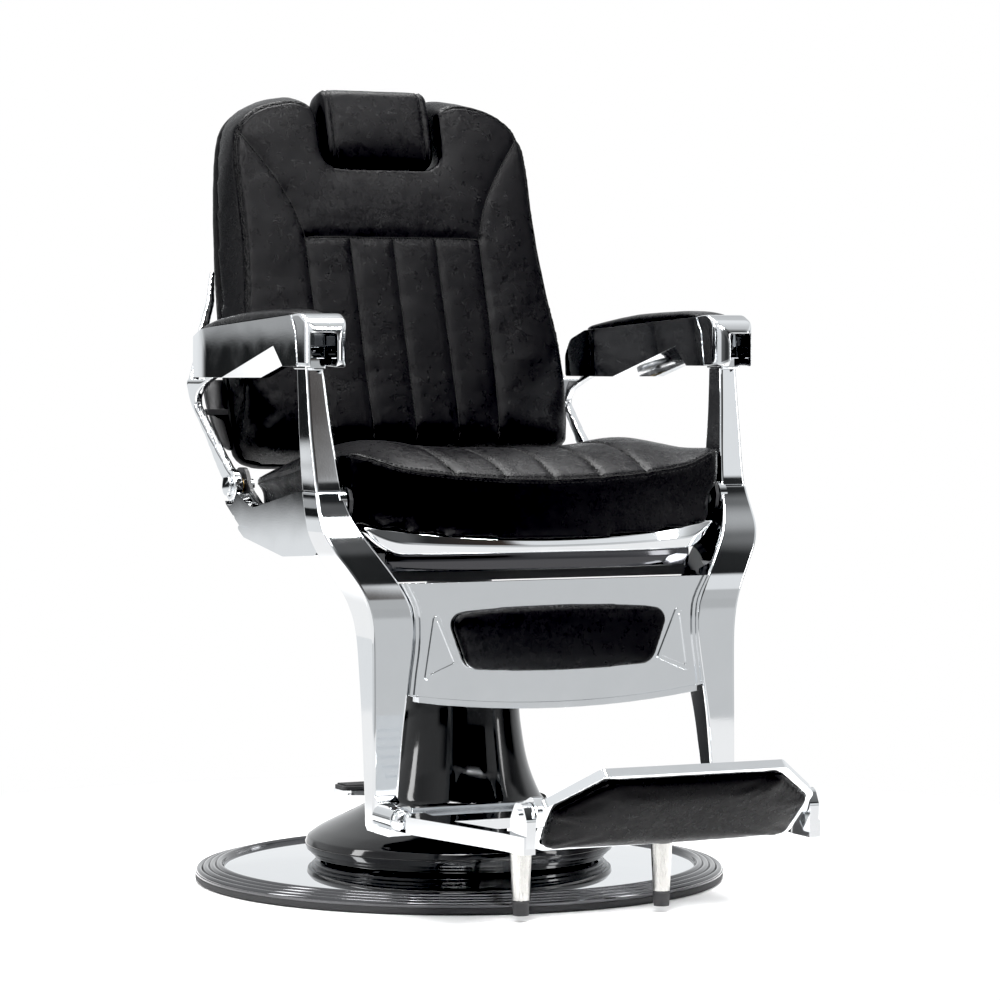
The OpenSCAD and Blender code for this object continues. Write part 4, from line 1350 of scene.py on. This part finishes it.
# ------------------------------------------------------------------ calf pad and foot pad
def crown_pad(node, outline, place, depth, base, body, cap):
    """crowned panel; place turns (across, up, out) into x, y, z"""
    inset = 2.5
    outline = np.array(outline, float)
    normals = out_normals(outline)
    rings = []
    # (height above the board, inset from the outline)
    for out, inward in ((base, 0.4), (base + depth * 0.55, 0.0),
                        (base + depth * 0.82, inset * 0.5), (base + depth, inset * 1.8)):
        rings.append([place(p[0], p[1], out) for p in outline - normals * inward])
    ob = loft(node + "_leather", rings, MAT["black_leather"], swap_caps=True)
    remesh(ob, 3.2)
    relax(ob, 2)
    middle = outline.mean(0)
    origin = np.array(place(middle[0], middle[1], base)) * MM
    out_way = np.array(place(middle[0], middle[1], base + 10)) * MM - origin
    out_way /= np.linalg.norm(out_way)
    height = (read_verts(ob.data) - origin) @ out_way / MM
    pin = np.clip(1.0 - (height - depth * 0.35) / (depth * 0.35), 0, 1)
    swell(ob, pin, pressure=3.0, cap=cap)
    subdivide(ob)
    ripple(ob, height=0.25, size=0.03, seed=41.0)
    register(ob, body, node)


def calf_place(x, z, out):
    return (x, -293.2 - out, z)


def foot_place(x, up, out):
    """the footplate is tilted by 45 degrees"""
    tilt = math.sqrt(0.5)
    return (x, -558 - up * tilt - out * tilt, 118 + up * tilt - out * tilt)


CALF_OUTLINE = fillet(
    [(-124, 294), (-60, 290.6), (0, 289.5), (60, 290.6), (124, 294), (149, 363), (75, 368.4),
     (0, 370), (-75, 368.4), (-149, 363)], [20, 0, 0, 0, 20, 16, 0, 0, 0, 16], 6)
FOOT_OUTLINE = fillet(
    [(-144, 3), (0, -1), (144, 3), (159, 9), (164, 70), (111, 115), (-111, 115), (-164, 70),
     (-159, 9)], [10, 0, 10, 8, 10, 8, 8, 10, 8], 6)
crown_pad("calf_pad", CALF_OUTLINE, calf_place, depth=13, base=0.0, body="leg_frame", cap=3.0)
crown_pad("footplate_pad", FOOT_OUTLINE, foot_place, depth=15, base=1.4, body="footplate",
          cap=4.0)


# ------------------------------------------------------------------ floor
def floor_material():
    """pale floor that fades into the white of the studio"""
    mat, s = material("floor_mat")
    v = s.coords()
    s.surface({
        "Base Color": s.mix(s.noise(v, scale=3.0), (0.92, 0.92, 0.92), (0.95, 0.95, 0.95)),
        "Roughness": 0.7,
        "Specular IOR Level": 0.15})
    radius = s.add("VectorMath", {0: v}, operation="LENGTH").outputs["Value"]
    fade = s.remap(radius, within=(0.42, 1.15), interpolation_type="SMOOTHSTEP")
    white = s.add("Emission", {"Strength": 1.0}).outputs[0]
    pale = s.tree.nodes["Principled BSDF"].outputs[0]
    s.fill(s.tree.nodes["Material Output"], {"Surface": s.mix_shader(fade, pale, white)})
    return mat


def floor(radius=2.6, z=-0.0002, segments=96):
    """disc in metres, a hair below z = 0"""
    mat = floor_material()
    me = bpy.data.meshes.new("floor")
    angles = [2 * math.pi * k / segments for k in range(segments)]
    me.from_pydata([(0, 0, z)] + [(radius * math.cos(a), radius * math.sin(a), z)
                                  for a in angles], [],
                   [(0, 1 + k, 1 + (k + 1) % segments) for k in range(segments)])
    ob = link_object("floor", me)
    me.materials.append(mat)


floor()

# ------------------------------------------------------------------ studio world
WARM_DARK = (0.055, 0.045, 0.04)
# Studio seen in reflections, from below the horizon upward. Each row blends in between two
# elevations (degrees) and lists (azimuth in degrees, brightness or colour).
STUDIO = [
    (None, [
        (-180, 0.80), (-150, 0.85), (-128, 0.35), (-110, 0.25), (-95, 0.55), (-80, 0.62),
        (-50, 0.66), (-30, 0.8), (0, 0.35), (20, 0.85), (60, 0.92), (100, 0.9), (118, 0.86),
        (140, 0.8), (160, 0.5), (180, 0.80)]),
    ((-2.9, -2.1), [
        (-180, 0.75), (-158, 0.8), (-150, 0.15), (-134, 0.10), (-128, 0.05), (-104, 0.05),
        (-98, 0.40), (-84, 0.42), (-66, 0.48), (-52, 0.62), (-34, 0.80), (-20, 0.12),
        (-4, 0.06), (6, 0.65), (30, 0.9), (98, 0.93), (103, 0.80), (106, 0.03),
        (128, 0.025), (133, 0.55), (165, 0.8), (180, 0.75)]),
    ((0.1, 0.45), [
        (-180, 0.85), (-158, 0.9), (-150, 0.2), (-134, 0.12), (-128, 0.05), (-104, 0.06),
        (-98, 0.40), (-84, 0.45), (-66, 0.50), (-52, 0.66), (-34, 0.85), (-20, 0.15),
        (-4, 0.08), (6, 0.7), (30, 0.92), (100, 0.95), (104, 0.42), (128, 0.36),
        (133, 0.8), (180, 0.85)]),
    ((6.0, 9.0), [
        (-180, 0.9), (-150, 0.9), (-140, 0.35), (-122, 0.10), (-100, 0.12), (-92, 0.04),
        (-69, WARM_DARK), (-66.5, WARM_DARK), (-64.5, 0.85), (-50, 0.92), (-30, 0.95),
        (-18, 0.3), (0, 0.35), (12, 0.9), (60, 0.95), (110, 0.75), (125, 0.9), (180, 0.9)]),
    ((22.0, 26.0), [
        (-180, 0.7), (-150, 0.95), (-125, 0.95), (-112, 0.30), (-95, 0.10), (-66.5, 0.12),
        (-64.5, 0.03), (-52, 0.04), (-40, 0.5), (-20, 0.95), (20, 0.9), (60, 0.55),
        (90, 0.9), (140, 0.95), (180, 0.7)]),
    ((43.0, 47.0), [
        (-180, 0.95), (-140, 0.98), (-100, 0.85), (-80, 0.62), (-66.5, 0.66), (-64.0, 0.12),
        (-48, 0.10), (-34, 0.6), (0, 0.75), (40, 0.95), (90, 0.8), (140, 0.95),
        (180, 0.95)]),
    ((74.0, 84.0), [(-180, 0.72), (-60, 0.8), (60, 0.7), (180, 0.72)]),
]


def studio_row(s, turn, stops):
    """colour ramp over the azimuth; plain brightness is tinted slightly cool"""
    node = s.add("ValToRGB", {"Fac": turn})
    elements = node.color_ramp.elements
    placed = []
    for azimuth, value in stops:
        color = value if isinstance(value, tuple) else (value * 0.965, value * 0.985, value)
        placed.append(((azimuth + 180) / 360.0, opaque(color)))
    elements[0].position, elements[0].color = placed[0]
    elements[1].position, elements[1].color = placed[-1]
    for position, color in placed[1:-1]:
        elements.new(position).color = color
    return node.outputs["Color"]


def studio_world():
    """detailed studio for reflections, soft white for light, pure white for the camera"""
    world = SCENE.world or bpy.data.worlds.new("studio")
    SCENE.world = world
    world.use_nodes = True
    s = Nodes(world.node_tree)
    s.tree.nodes.clear()
    output = s.add("OutputWorld")
    rays = s.add("LightPath").outputs
    direction = s.add("SeparateXYZ", {0: s.add("TexCoord").outputs["Generated"]}).outputs
    azimuth = s.math("ARCTAN2", direction["Y"], direction["X"])
    turn = s.math("ADD", s.math("MULTIPLY", azimuth, 0.5 / math.pi), 0.5)
    elevation = s.math("MULTIPLY", s.math("ARCSINE", direction["Z"]), 180 / math.pi)
    color = studio_row(s, turn, STUDIO[0][1])
    for within, stops in STUDIO[1:]:
        share = s.remap(elevation, within=within, interpolation_type="SMOOTHSTEP")
        color = s.mix(share, color, studio_row(s, turn, stops))

    def background(color, strength):
        return s.add("Background", {"Color": color, "Strength": strength}).outputs[0]

    white = (1, 1, 1, 1)
    seen = s.mix_shader(rays["Is Glossy Ray"], background(white, strength=0.7),
                        background(color, strength=1.0))
    seen = s.mix_shader(rays["Is Camera Ray"], seen, background(white, strength=1.0))
    s.fill(output, {"Surface": seen})


studio_world()


# ------------------------------------------------------------------ lights and camera (metres)
def area(name, place, target, width, height, power):
    light = bpy.data.lights.new(name, "AREA")
    light.energy = power
    light.shape = "RECTANGLE"
    light.size = width
    light.size_y = height
    ob = link_object(name, light)
    ob.location = place
    aim = Vector(target) - Vector(place)
    ob.rotation_euler = aim.to_track_quat("-Z", "Y").to_euler()


area("key", (-1.5, -2.2, 3.0), target=(0, -0.1, 0.6), width=1.5, height=1.1, power=110)
area("front_top", (0.45, -1.35, 2.75), target=(0, -0.1, 0.6), width=1.1, height=0.45, power=60)
area("fill", (2.7, -2.2, 1.3), target=(0, 0, 0.5), width=0.55, height=1.9, power=22)
area("top", (0.1, 0.8, 3.0), target=(0, 0, 0.5), width=1.8, height=1.0, power=125)
area("rim", (-2.9, 0.9, 1.5), target=(0, 0.1, 0.7), width=0.5, height=1.8, power=26)


def camera(place, azimuth, elevation, lens):
    """long lens from the front right; the angles give the direction back to the camera"""
    data = bpy.data.cameras.new("camera")
    data.sensor_width = 36.0
    data.lens = lens
    data.clip_end = 60
    ob = link_object("camera", data)
    turn, rise = math.radians(azimuth), math.radians(elevation)
    back = Vector((math.sin(turn) * math.cos(rise), -math.cos(turn) * math.cos(rise),
                   math.sin(rise)))
    ob.location = place
    ob.rotation_mode = "QUATERNION"
    ob.rotation_quaternion = (-back).to_track_quat("-Z", "Y")
    SCENE.camera = ob


camera((-1.96607, -4.32508, 0.67366), azimuth=-25.0785, elevation=2.2598, lens=132.99642)

view = SCENE.view_settings
view.view_transform = "Standard"
view.look = "None"

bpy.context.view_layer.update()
# a slightly raised black level deepens the shadows
view.use_curve_mapping = True
view.curve_mapping.black_level = (0.014, 0.014, 0.014)
view.curve_mapping.update()
